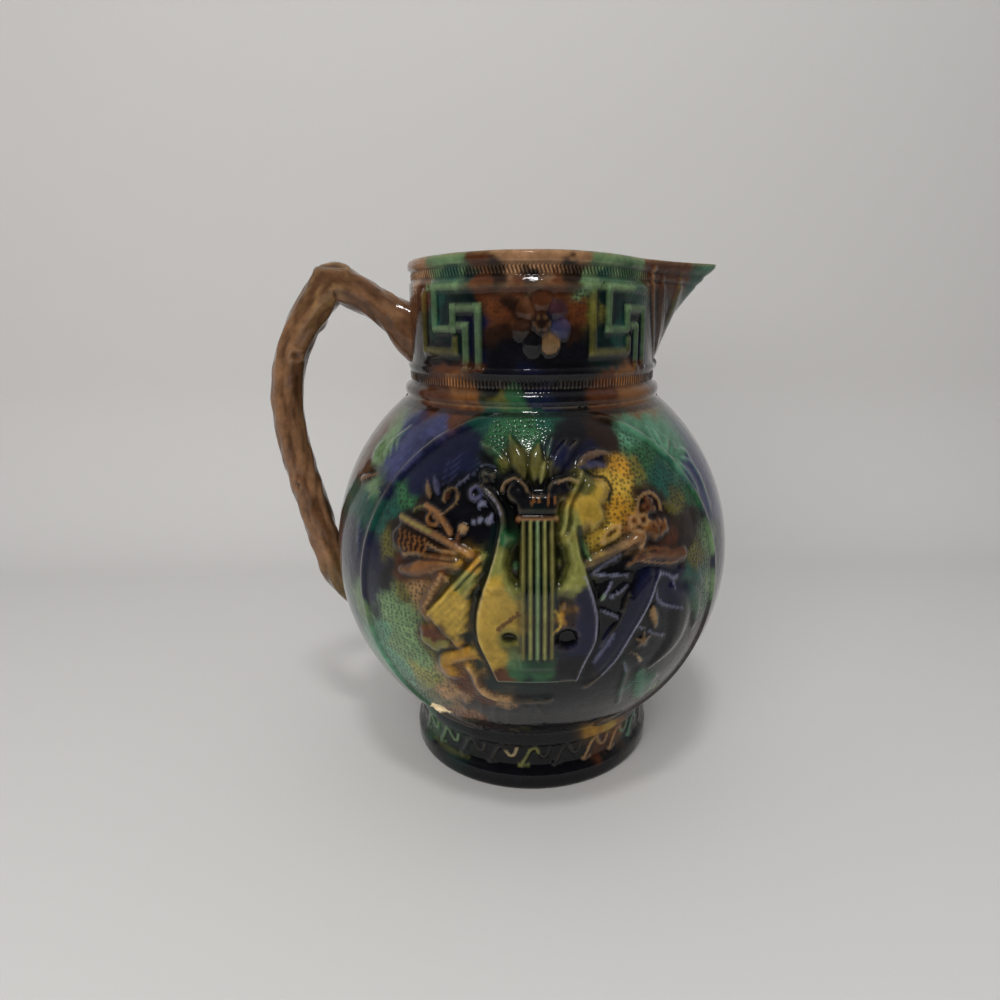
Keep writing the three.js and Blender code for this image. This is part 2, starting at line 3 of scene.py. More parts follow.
import bpy
import numpy as np
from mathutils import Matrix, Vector


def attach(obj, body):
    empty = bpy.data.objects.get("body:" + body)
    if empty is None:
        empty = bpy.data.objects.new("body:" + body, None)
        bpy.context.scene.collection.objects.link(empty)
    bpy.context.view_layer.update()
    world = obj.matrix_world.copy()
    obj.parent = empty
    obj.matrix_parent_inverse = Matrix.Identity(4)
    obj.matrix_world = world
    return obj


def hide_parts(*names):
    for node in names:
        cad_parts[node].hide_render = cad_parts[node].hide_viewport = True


# A majolica pitcher in one mesh: a fine lattice over the turned form, raised by the drawn relief,
# and a branch handle. Sizes are millimetres about the vessel's axis until a mesh is made.
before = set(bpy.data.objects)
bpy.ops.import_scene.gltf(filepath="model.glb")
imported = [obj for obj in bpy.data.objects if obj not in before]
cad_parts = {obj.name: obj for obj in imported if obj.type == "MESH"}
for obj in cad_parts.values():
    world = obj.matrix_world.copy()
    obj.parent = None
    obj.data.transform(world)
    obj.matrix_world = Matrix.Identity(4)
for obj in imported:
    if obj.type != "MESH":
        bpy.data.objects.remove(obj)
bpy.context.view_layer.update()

# Form
AXIS = (12.0, 0.757)
HEIGHT = 200.0
BODY_RADIUS = 79.6
BODY_CENTRE = 86.0
BODY_LOW = 27.0
BODY_HIGH = 147.8
FOOT_RADIUS = 50.8
NECK_RADIUS = 47.0
PANEL_BOTTOM = 161.6
SPOUT_REACH = 26.8
SPOUT_HALF_ANGLE = 36.0
SPOUT_RISE = 50.0
SPOUT_RIM_DROP = 2.4
HANDLE_RIM_DROP = 1.7
INNER_RADIUS = 74.6
INNER_LOW = 14.6
MOUTH_RADIUS = 42.0
GRIP_RADIUS = 6.4
FRONT = -92.5

# Relief heights
LOW = 1.4
MIDDLE = 2.6
HIGH = 3.6
STRING = 4.35
FRET = 1.4
# the rope's strands and the collar's beads: length round the neck and relief
TICK_LENGTH = 1.35
TICK_RELIEF = 0.34

# Levels of the stippled panel, the rope and the beads, and the stretch of the rope at the spout
STIPPLED_PANEL = (162.4, 163, 190.4, 191)
ROPE = (192.2, 192.7, 195.2, 195.7)
BEADS = (154.7, 155.2, 157.9, 158.4)
SPOUT_STRETCH = (50, 53, 101, 104)

# Lattice: angle from the front and spacing up to it in millimetres at the widest
COLUMN_STEPS = [(11, 0.45), (58, 0.62), (84, 0.8), (180, 1.75)]
ROW_STEP = 0.62
COARSE_ROW_STEP = 3
FLAT_ENOUGH = 0.06
PLAIN_ENOUGH = 0.04


# Glazes, as they look in full light, and how far their depth darkens them
GLAZE_DEPTH = 0.5


def srgb(red, green, blue):
    values = np.array([red, green, blue]) / 255
    return GLAZE_DEPTH * np.where(values < 0.04045, values / 12.92, ((values + 0.055) / 1.055) ** 2.4)


GLAZE = {
    "black": srgb(16, 16, 22),
    "navy": srgb(20, 24, 54),
    "violet": srgb(70, 74, 116),
    "haze": srgb(142, 146, 182),
    "wood": srgb(176, 132, 96),
    "brown": srgb(94, 52, 28),
    "bark": srgb(44, 27, 18),
    "amber": srgb(142, 92, 48),
    "tan": srgb(172, 134, 90),
    "ochre": srgb(182, 134, 44),
    "yellow": srgb(194, 160, 66),
    "olive": srgb(102, 98, 44),
    "lime": srgb(140, 142, 76),
    "green": srgb(48, 98, 62),
    "sage": srgb(118, 150, 104),
    "mint": srgb(96, 154, 122),
    "teal": srgb(24, 82, 70),
    "deep": srgb(12, 38, 36),
    "buff": srgb(206, 184, 140),
    "clay": srgb(238, 216, 176),
}


# Curves


def smooth_line(points, steps=24):
    """A smooth curve through the points."""
    p = np.array(points, float)
    if len(p) == 2:
        return p[0] + np.linspace(0, 1, 3)[:, None] * (p[1] - p[0])
    ends = np.vstack([2 * p[0] - p[1], p, 2 * p[-1] - p[-2]])
    t = np.linspace(0, len(p) - 1, steps + 1)
    i = np.minimum(t.astype(int), len(p) - 2)
    f = (t - i)[:, None]
    a, b, c, d = ends[i], ends[i + 1], ends[i + 2], ends[i + 3]
    return 0.5 * (
        2 * b + (c - a) * f + (2 * a - 5 * b + 4 * c - d) * f**2 + (3 * b - a - 3 * c + d) * f**3
    )


def smoothstep(low, high, value):
    t = np.clip((value - low) / (high - low), 0, 1)
    return t * t * (3 - 2 * t)


def band(edges, value):
    """1 between the inner two of four edges, falling to 0 at the outer two."""
    return smoothstep(edges[0], edges[1], value) * smoothstep(edges[3], edges[2], value)


WIDTHS = {
    "even": lambda t: np.ones_like(t),
    "leaf": lambda t: 0.08 + 0.92 * np.sin(np.pi * np.minimum(t, 0.97) ** 0.8),
    "horn": lambda t: 0.2 + 0.8 * t**1.4,
    "pear": lambda t: 0.25 + 0.75 * np.sin(np.pi * (0.1 + 0.85 * t)) ** 2 * t,
    "drop": lambda t: 0.3 + 0.7 * t,
    "spine": lambda t: 1 - 0.8 * t,
}


class Drawing:
    """Points of the wall in a drawing's flat coordinates, with the height of the relief on each."""

    def __init__(self, x, y):
        self.x, self.y = x, y
        self.height = np.zeros(x.shape)
        self.tint = np.zeros(x.shape + (3,))
        self.tinted = np.zeros(x.shape)

    def near(self, points, reach):
        low, high = np.min(points, 0) - reach, np.max(points, 0) + reach
        inside = (self.x > low[0]) & (self.x < high[0]) & (self.y > low[1]) & (self.y < high[1])
        return np.nonzero(inside)

    def distance(self, near, line):
        """Distance from the near points to a line, and how far along it the closest place is."""
        x, y = self.x[near], self.y[near]
        best = np.full(x.shape, 1e9)
        along = np.zeros(x.shape)
        lengths = np.hypot(*np.diff(line, axis=0).T)
        starts = np.concatenate([[0], np.cumsum(lengths)])
        for i in range(len(line) - 1):
            step = line[i + 1] - line[i]
            t = ((x - line[i][0]) * step[0] + (y - line[i][1]) * step[1]) / max(lengths[i] ** 2, 1e-9)
            t = np.clip(t, 0, 1)
            d = np.hypot(x - line[i][0] - t * step[0], y - line[i][1] - t * step[1])
            closer = d < best
            best[closer] = d[closer]
            along[closer] = (starts[i] + t * lengths[i])[closer] / starts[-1]
        return best, along

    def colour_over(self, near, share, colour):
        keep = self.tinted[near] * (1 - share)
        total = keep + share
        blend = self.tint[near] * keep[:, None] + GLAZE[colour] * share[:, None]
        self.tint[near] = blend / np.maximum(total, 1e-6)[:, None]
        self.tinted[near] = total

    def raise_to(self, near, height, colour=None, strength=0.8):
        now = self.height[near]
        self.height[near] = np.maximum(now, height)
        if colour is not None:
            top = (height >= now) & (height > 0.1)
            self.colour_over(near, np.where(top, strength * smoothstep(0.1, 0.5, height), 0), colour)

    def stroke(self, points, width, height, shape="even", vein=0.0, colour=None, base=0.0, strength=0.8):
        """A rounded ridge along a smooth line, with a vein along its middle if vein isn't 0."""
        line = smooth_line(points)
        near = self.near(line, width)
        d, t = self.distance(near, line)
        half = 0.5 * width * WIDTHS[shape](t)
        q = np.clip(d / np.maximum(half, 0.05), 0, 1)
        crown = 1 - q**2
        relief = height * crown - vein * np.exp(-((d / 0.5) ** 2)) * crown
        self.raise_to(near, base * smoothstep(1, 0.6, q) + relief, colour, strength)

    def groove(self, points, width, depth, colour=None, strength=0.8):
        line = smooth_line(points)
        near = self.near(line, width)
        d, _ = self.distance(near, line)
        q = np.clip(d / (0.5 * width), 0, 1)
        self.height[near] -= depth * (1 - q**2) ** 1.5
        if colour is not None:
            self.colour_over(near, strength * smoothstep(1, 0.4, q), colour)

    def paint_band(self, points, width, colour, strength=0.9):
        """Glaze of one colour along a line, with soft edges and no relief; also used to lay painted shade.
        """
        line = smooth_line(points) if len(points) > 1 else np.array([points[0], points[0]])
        near = self.near(line, width)
        if len(points) > 1:
            d, _ = self.distance(near, line)
        else:
            d = np.hypot(self.x[near] - line[0][0], self.y[near] - line[0][1])
        share = smoothstep(1.25, 0.45, d / (0.5 * width))
        self.colour_over(near, strength * share, colour)

    def dome(self, centre, radius, height, squash=1.0, colour=None, base=0.0, strength=0.8):
        near = self.near([centre], radius)
        d = np.hypot(self.x[near] - centre[0], (self.y[near] - centre[1]) / squash) / radius
        relief = base * smoothstep(1, 0.7, d) + height * np.clip(1 - d**2, 0, 1) ** 0.75
        self.raise_to(near, np.where(d < 1, relief, 0), colour, strength)

    def ring(self, centre, radius, width, height, colour=None):
        near = self.near([centre], radius + width)
        d = np.hypot(self.x[near] - centre[0], self.y[near] - centre[1])
        q = np.clip(np.abs(d - radius) / (width / 2), 0, 1)
        self.raise_to(near, height * (1 - q**2), colour)

    def inside(self, near, corners):
        """How deep each near point lies inside a closed outline, and less than 0 outside it."""
        x, y = self.x[near], self.y[near]
        line = np.vstack([corners, corners[:1]])
        d, _ = self.distance(near, line)
        crossings = np.zeros(x.shape, int)
        for (x0, y0), (x1, y1) in zip(line[:-1], line[1:]):
            if y0 != y1:
                spans = (y0 > y) != (y1 > y)
                crossings += spans & (x < x0 + (y - y0) * (x1 - x0) / (y1 - y0))
        return np.where(crossings % 2 == 1, d, -d)

    def plate(self, corners, height, edge=1.0, colour=None, strength=0.8, smooth=False):
        """A flat form with softened edges."""
        corners = np.array(corners, float)
        if smooth:
            corners = smooth_line(np.vstack([corners, corners[:1]]), 6 * len(corners))[:-1]
        near = self.near(corners, edge)
        relief = height * smoothstep(-0.35, edge, self.inside(near, corners))
        self.raise_to(near, relief, colour, strength)

    def hollow(self, corners, floor, edge=0.8, colour=None, strength=0.9):
        """Presses the inside of an outline down to a level."""
        corners = np.array(corners, float)
        near = self.near(corners, edge)
        share = smoothstep(-0.2, edge, self.inside(near, corners))
        self.height[near] = self.height[near] * (1 - share) + np.minimum(self.height[near], floor) * share
        if colour is not None:
            self.colour_over(near, strength * share, colour)


# Lattice directions and the turned outline


def column_turns():
    """Directions of the columns in degrees from the front, closer together where the relief is fine."""
    half = [np.array([0.0])]
    for limit, step in COLUMN_STEPS:
        start = half[-1][-1]
        arc = math.radians(limit - start) * BODY_RADIUS
        count = 2 * math.ceil(arc / step / 2)
        half.append(np.linspace(start, limit, count + 1)[1:])
    right = np.concatenate(half)
    return np.concatenate([-right[:0:-1], right[:-1]])


def divided(points, step):
    result = [points[0]]
    for before, after in zip(points[:-1], points[1:]):
        length = math.hypot(after[0] - before[0], after[1] - before[1])
        count = max(1, round(length / step))
        for i in range(1, count + 1):
            share = i / count
            result.append(tuple(before[k] + (after[k] - before[k]) * share for k in (0, 1)))
    return result


FOOT_POINTS = [
    (49.6, 0.0), (50.5, 0.5), (50.8, 1.6), (50.8, 6.2), (50.4, 7.3), (49.4, 8.1), (48.5, 9.0),
    (48.1, 10.4), (48.1, 14.5), (48.5, 17.6), (49.3, 18.8), (50.0, 19.6), (50.2, 20.8), (49.9, 22.2),
    (49.8, 23.8), (50.4, 25.0), (51.6, 25.9),
]
NECK_POINTS = [
    (49.3, 148.4), (49.3, 149.2), (49.8, 150.2), (50.0, 151.4), (49.7, 152.6), (48.9, 153.5),
    (47.7, 154.1), (47.4, 154.8), (47.5, 158.0), (47.8, 158.7), (48.3, 159.3), (48.4, 160.6),
    (47.9, 161.4), (47.1, 162.0), (47.0, 162.6), (47.0, 191.2), (46.5, 191.8), (46.0, 192.3),
    (46.0, 195.5), (46.6, 196.0), (47.2, 196.6), (47.4, 197.6), (47.3, 198.6), (46.9, 199.4),
    (46.2, 199.85), (45.4, 199.97),
]
UNDER_POINTS = [
    (8.0, 8.0), (24.0, 8.0), (38.0, 8.0), (39.2, 7.2), (40.8, 1.2), (41.4, 0.3), (42.6, 0.0), (49.6, 0.0),
]
RIM_POINTS = [(45.4, 199.97), (43.8, 199.97), (42.9, 199.6), (42.3, 198.8), (42.0, 197.6)]


def body_points():
    low = math.asin((BODY_LOW - BODY_CENTRE) / BODY_RADIUS)
    high = math.asin((BODY_HIGH - BODY_CENTRE) / BODY_RADIUS)
    tilts = np.linspace(low, high, 1 + 2 * round((high - low) * BODY_RADIUS / ROW_STEP / 2))
    return [(BODY_RADIUS * math.cos(t), BODY_CENTRE + BODY_RADIUS * math.sin(t)) for t in tilts]


def inner_points():
    rows = [(MOUTH_RADIUS, z) for z in (194, 188, 180, 170, 158)]
    high = math.acos(MOUTH_RADIUS / INNER_RADIUS)
    low = math.asin((INNER_LOW - BODY_CENTRE) / INNER_RADIUS)
    for t in np.linspace(high, low, 15):
        rows.append((INNER_RADIUS * math.cos(t), BODY_CENTRE + INNER_RADIUS * math.sin(t)))
    return rows + [(9.0, 14.2)]


def with_spout(radius, turn, z):
    """Distance of the wall from the axis where the round neck has the radius. Turn is from the spout."""
    rise = np.clip((z - (HEIGHT - SPOUT_RISE)) / SPOUT_RISE, 0, 1)
    reach = radius + SPOUT_REACH * rise**2
    half = np.radians(SPOUT_HALF_ANGLE) * np.maximum(rise, 1e-3) ** 0.45
    soft = np.sqrt(turn**2 + 0.02**2) - 0.012
    slope = (reach - radius * np.cos(half)) / (radius * np.sin(half))
    beak = reach / (np.cos(soft) + np.sin(soft) * slope)
    blend = 1.2 * rise
    joined = 0.5 * (radius + beak + np.sqrt((radius - beak) ** 2 + blend**2)) - 0.25 * blend
    return np.where((soft < np.arctan(slope)) & (rise > 0), np.maximum(joined, radius), radius)


def rim_drop(direction, z):
    forward = np.cos(direction)
    drop = np.where(forward > 0, SPOUT_RIM_DROP, HANDLE_RIM_DROP)
    return drop * forward**2 * smoothstep(PANEL_BOTTOM, HEIGHT, z)


def placed(radius, z, direction):
    turn = np.arctan2(np.sin(direction), np.cos(direction))
    reach = with_spout(radius, turn, z)
    return np.stack(
        [reach * np.cos(direction), reach * np.sin(direction), z - rim_drop(direction, z)], -1
    )


# The round field with the lyre and the trophy


def field_chart(points, facing):
    """Flat coordinates of places on the body, measured from the middle of the side that faces that way."""
    angle = math.radians(facing)
    out = np.array([math.cos(angle), math.sin(angle), 0])
    side = np.array([-math.sin(angle), math.cos(angle), 0])
    v = (points - np.array([0, 0, BODY_CENTRE])) / BODY_RADIUS
    v = v / np.linalg.norm(v, axis=-1, keepdims=True)
    forward, across, up = v @ out, v @ side, v[..., 2]
    swing = np.arccos(np.clip(forward, -1, 1)) * BODY_RADIUS
    flat = np.maximum(np.hypot(across, up), 1e-9)
    return swing * across / flat, swing * up / flat


def field_place(a, b, facing=FRONT):
    """The place on the body at flat coordinates."""
    swing = math.hypot(a, b) / BODY_RADIUS
    heading = math.atan2(b, a)
    angle = math.radians(facing)
    across, forward = math.sin(swing) * math.cos(heading), math.cos(swing)
    x = forward * math.cos(angle) - across * math.sin(angle)
    y = forward * math.sin(angle) + across * math.cos(angle)
    return (
        BODY_RADIUS * x, BODY_RADIUS * y, BODY_CENTRE + BODY_RADIUS * math.sin(swing) * math.sin(heading)
    )


LYRE_AXIS = 1.8
LYRE_FOOT = -23.2
LYRE_NECK = 30.0
LYRE_HALF_WIDTHS = [13.4, 15.8, 19.2, 19.6, 18.0, 15.3, 13.1, 11.9]


def lyre_edge(low, high, inset=0.0, steps=14):
    levels = np.linspace(LYRE_FOOT, LYRE_NECK, len(LYRE_HALF_WIDTHS))
    up = np.linspace(low, high, steps)
    return [(LYRE_AXIS - np.interp(z, levels, LYRE_HALF_WIDTHS) + inset, z) for z in up]


def mirrored(points):
    return [(2 * LYRE_AXIS - x, y) for x, y in points]


def draw_lyre(sheet, plain=False):
    left = lyre_edge(LYRE_FOOT, 12)
    # painted shade: a dark band just outside the lyre's outline, along its left and right sides and under
    # its foot
    edge = lyre_edge(LYRE_FOOT, 29, -0.9)
    shaded_channel = [(x - 0.3, y) for x, y in edge]
    sheet.paint_band(shaded_channel, 3.6, "deep", 0.95)
    if plain:
        sheet.paint_band(mirrored(shaded_channel), 3.6, "deep", 0.9)
    else:
        sheet.paint_band(mirrored(shaded_channel)[3:], 2.4, "black", 0.9)
    sheet.paint_band([(-13.5, LYRE_FOOT - 1.6), (2, LYRE_FOOT - 2.0), (17, LYRE_FOOT - 1.6)], 3.4, "deep", 0.9)
    sheet.plate(left + mirrored(left)[::-1], MIDDLE, 1.7)
    arm = lyre_edge(8, 31, steps=9) + [
        (-9.2, 31.2), (-7, 28.6), (-4.2, 26.2), (-6.7, 22.5), (-7.6, 18), (-6.3, 14), (-3.6, 10.6),
        (-4, 8)
    ]
    sheet.plate(arm, HIGH, 2.6)
    sheet.plate(mirrored(arm), HIGH, 2.6)
    rim = lyre_edge(LYRE_FOOT + 0.6, 29, 0.9)
    sheet.stroke(rim, 2.4, 0.55, base=MIDDLE - 0.15)
    sheet.stroke(mirrored(rim), 2.4, 0.85, base=MIDDLE - 0.15)
    if not plain:
        sheet.paint_band(mirrored(lyre_edge(LYRE_FOOT + 0.6, 14, 0.8)), 0.9, "haze", 0.7)
        sheet.paint_band(
            [(-11, LYRE_FOOT + 0.5), (0, LYRE_FOOT + 0.3), (8.6, LYRE_FOOT + 0.3)], 0.9, "mint", 0.6
        )
        sheet.paint_band(lyre_edge(LYRE_FOOT + 0.6, 26, 0.6), 0.8, "buff", 0.35)
    sheet.stroke([(-11, LYRE_FOOT + 0.4), (14.6, LYRE_FOOT + 0.4)], 1.8, 0.8, base=MIDDLE - 0.5)
    sheet.plate([(-3.9, 8), (7.7, 8), (7.7, 31.6), (-3.9, 31.6)], MIDDLE - 0.6, 0.7)
    board = "deep" if plain else "bark"
    sheet.paint_band([(1.9, -12), (1.9, 8), (1.9, 31)], 11.4, "deep", 0.75)
    sheet.paint_band([(3.4, -10), (3.2, 6)], 8.0, board, 0.55)
    slot = [(-3.6, 26.4), (-6.4, 22.5), (-7.3, 18), (-6.1, 14), (-3.6, 11.4)]
    for shape in (slot, mirrored(slot)):
        sheet.hollow(shape, 0.3, 0.9, "deep" if plain else "black", 0.95)
    if not plain:
        sheet.dome((-5.0, 17.6), 1.3, 0.9, 1.7, colour="green", strength=0.8)
        sheet.dome((8.4, 18.6), 1.2, 0.8, 1.5, colour="olive", strength=0.6)
    # almond, stroke and round hole on the left, crescent and hole on the right
    sheet.stroke(
        [(-10.9, -0.2), (-11.3, 2.7), (-10.3, 6.4), (-8.0, 8.8), (-5.6, 9.9)], 1.5, 0.3,
        base=MIDDLE - 0.2
    )
    sheet.dome((-8.2, 4.6), 3.6, 0.4, 1.35, colour="ochre", base=MIDDLE - 0.4, strength=0.6)
    sheet.dome((-7.1, -5.7), 4.3, 0.45, base=MIDDLE - 0.4)
    if not plain:
        sheet.paint_band([(-7.1, -5.7)], 8.4, "green", 0.6)
        sheet.paint_band([(-5.4, -11.4), (-5.8, -15.0)], 5.0, "sage", 0.5)
    hole = [(2.9 * math.cos(t), 2.2 * math.sin(t)) for t in np.linspace(0, 2 * math.pi, 13)[:-1]]
    sheet.hollow([(x - 7.1, y - 5.7) for x, y in hole], 0.5, 1.2, "deep")
    sheet.stroke(
        [(-10.5, -2.6), (-7.9, -0.2), (-4.1, 2.9)], 2.0, 0.6, base=MIDDLE - 0.2, colour="brown",
        strength=0.9
    )
    crescent = [
        (7.8, 8.8), (10.2, 8.9), (13, 6.8), (14.4, 3.2), (14.2, -1.6), (12.4, -3.4), (10.4, -1.6),
        (9.6, 2.0), (8.0, 5)
    ]
    sheet.hollow(crescent, 1.7, 1.2, None if plain else "bark", 0.8)
    sheet.hollow([(11.2 + 1.35 * x, -6.2 + 1.7 * y) for x, y in hole], 0.4, 1.2, "black", 0.95)
    sheet.stroke(
        [(8.8, 9.6), (12.4, 8.2), (15.2, 3.8), (15.6, -1.0), (14.6, -5.4)], 1.5, 0.5, base=MIDDLE - 0.2
    )
    if not plain:
        sheet.dome((9.7, 4.7), 1.2, 0.7, 1.9, colour="tan", base=1.5, strength=0.55)
        sheet.stroke(
            [(6.9, 4.2), (8.8, 0.6), (8.6, -1.8), (6.4, -3.4)], 2.2, 0.7, base=2.0, colour="yellow",
            strength=0.85
        )
    block = STRING - 0.9
    if plain:
        block = MIDDLE + 0.1
    sheet.plate([(-4.6, -17.6), (8.2, -17.6), (8.6, -12.4), (-4.7, -12.4)], block, 1.2)
    for x in (-3.4, -0.8, 1.9, 4.6, 7.3):
        sheet.dome((x, -12.4), 1.5, 0.5, base=block - 0.5)
    for i in range(5):
        x = LYRE_AXIS + (i - 2) * 2.2
        top = MIDDLE + 0.15 if plain else STRING
        sheet.stroke([(x, -12.8), (x, 31.4)], 1.9, top - 1.0, base=1.0)
        if not plain:
            sheet.paint_band(
                [(x, -12.0), (x, 8), (x, 31)], 1.25, ("olive", "lime", "sage", "lime", "olive")[i], 0.8
            )
    if not plain:
        sheet.plate(
            [(-4.9, 31.2), (8.7, 31.2), (9.0, 32.9), (-5.2, 32.9)], STRING - 0.1, 0.8, "amber", 0.7
        )
    sheet.plate(
        [(-4.8, 33.0), (8.6, 33.0), (10.4, 40.6), (-6.6, 40.6)], MIDDLE if plain else HIGH - 0.7, 1.4
    )
    top = MIDDLE if plain else HIGH
    for x in (0.2, 2.0, 5.0, 7.0):
        sheet.stroke(
            [(x, 36.2), (x + 0.3, 38.0), (x + 0.2, 39.6)], 1.5, 0.4, "leaf", base=top - 0.8,
            colour="amber", strength=0.7
        )
    sheet.dome((-4.4, 40.6), 4.6, 0.6, base=top - 1.2)
    sheet.dome((8.8, 41.2), 4.6, 0.6, base=top - 1.2)
    sheet.stroke(
        [(-9.8, 41.6), (-8.6, 43.8), (-5.7, 45.0), (-3.2, 43.6), (-1.3, 40.6)], 1.6, 0.7, base=top - 1.2,
        colour="tan", strength=0.3
    )
    sheet.stroke(
        [(8.2, 42.9), (10.3, 44.3), (12.7, 44.9), (15.0, 43.8)], 1.7, 0.8, base=top - 1.3, colour="tan",
        strength=0.3
    )
    sheet.groove([(-6.4, 40.4), (-4.6, 42.0), (-2.6, 40.2), (-2.2, 37.4)], 1.5, 0.7)
    sheet.groove([(6.8, 40.0), (8.6, 42.2), (11.2, 41.0)], 1.5, 0.7)


def draw_lyre_scrolls(sheet):
    sheet.stroke([(-9.0, 29.6), (-9.9, 34.7), (-12.9, 39.2), (-16.6, 42.4)], 3.1, HIGH - 0.9)
    sheet.stroke(
        [(-9.5, 33), (-11.6, 37.4), (-15.6, 41.2)], 0.9, 0.35, base=HIGH - 1.2, colour="haze",
        strength=0.4
    )
    sheet.ring((-18.6, 40.4), 2.0, 1.5, HIGH - 1.4, colour="violet")
    sheet.dome((-18.4, 40.4), 1.0, 1.2)
    for x, y, r in ((-15.8, 46.4, 1.9), (-13.4, 46.0, 1.6), (-15.2, 44.2, 1.7)):
        sheet.dome((x, y), r, 1.0, base=1.5)
    for x, y, r in (
        (-16.2, 37.1, 1.6), (-17.4, 36.4, 1.0), (-18.9, 31.4, 1.0), (-16.9, 31.7, 1.4),
        (-13.9, 31.6, 1.8), (-13.1, 33.2, 1.0)
    ):
        sheet.dome((x, y), 0.8 * r, 1.4, colour="haze", strength=0.5)
    swirl = [
        (9.5, 27), (11.2, 30.9), (11.2, 34.6), (12.0, 37.7), (13.9, 40.8), (16.3, 44.8), (17.0, 48.2),
        (19.4, 47.0), (21.7, 45.6), (25.2, 44.8), (26.9, 42.0), (25.8, 38.4), (23, 34), (19, 29),
        (14, 25),
    ]
    sheet.plate(swirl, MIDDLE, 3.6, smooth=True)
    sheet.stroke(
        [(9.6, 27.4), (10.9, 31), (11.2, 35), (12.9, 39.4), (15.9, 44.2), (16.9, 47.4)], 2.2, 1.0,
        base=1.6
    )
    sheet.groove(
        [(16.0, 49.4), (21.1, 46.6), (25.6, 45.4), (27.5, 42.0), (26.5, 38.6)], 1.6, 0.8, colour="black",
        strength=0.95
    )
    sheet.paint_band([(26.4, 38.2)], 2.2, "deep", 0.9)
    sheet.stroke([(14.6, 20), (13.4, 27), (14.2, 33), (17.0, 38.4), (20.6, 40.0)], 1.6, 0.5, base=2.0)
    sheet.stroke(
        [(18.4, 19.4), (15.4, 26), (15.4, 32.4)], 2.0, 0.3, base=0.8, colour="green", strength=0.7
    )
    sheet.dome((19.6, 33.6), 4.6, 0.5, 0.9, base=1.6)
    sheet.stroke(
        [(16.4, 31), (18.4, 36.0), (22, 35.4), (23, 32), (20, 29.4)], 1.1, 0.3, base=2.0, colour="lime",
        strength=0.5
    )


def draw_crown(sheet):
    sheet.stroke([(-8, 49.6), (-13, 53.8), (-18.4, 57.6)], 4.6, 1.7, "leaf", vein=0.6)
    sheet.stroke(
        [(-9, 52.2), (-13.5, 55.5), (-19.0, 58.6)], 1.4, 1.3, "leaf", colour="sage", strength=0.45
    )
    sheet.stroke(
        [(-2.4, 45), (-5, 53), (-8.2, 61)], 5.8, MIDDLE - 0.2, "leaf", vein=0.7, colour="olive",
        strength=0.6
    )
    sheet.stroke(
        [(0.8, 45), (1.6, 52), (2.4, 58)], 5.4, MIDDLE - 0.2, "leaf", vein=0.7, colour="olive",
        strength=0.6
    )
    sheet.stroke([(3.0, 44), (3.8, 48), (4.6, 51.4)], 2.6, MIDDLE, "leaf", colour="lime", strength=0.5)
    sheet.stroke([(6, 45), (9.4, 53), (12.6, 59.4)], 5.2, 2.0, "leaf", vein=0.7)
    sheet.stroke(
        [(15.6, 49.2), (19.4, 52.8), (25.0, 54.6), (29.6, 53.2)], 3.4, 1.7, "leaf", vein=0.6,
        colour="tan", strength=0.35
    )
    sheet.stroke(
        [(16, 48.8), (22, 50.2), (27, 49.2)], 3.0, 1.2, "leaf", vein=0.3, colour="violet", strength=0.6
    )
    sheet.stroke([(10.4, 50), (12.6, 54.5), (17, 59.5)], 3.0, 1.4, "leaf")
    sheet.stroke([(5.4, 52.5), (6.4, 57), (7.4, 61)], 2.4, 1.6, "leaf", colour="teal", strength=0.4)


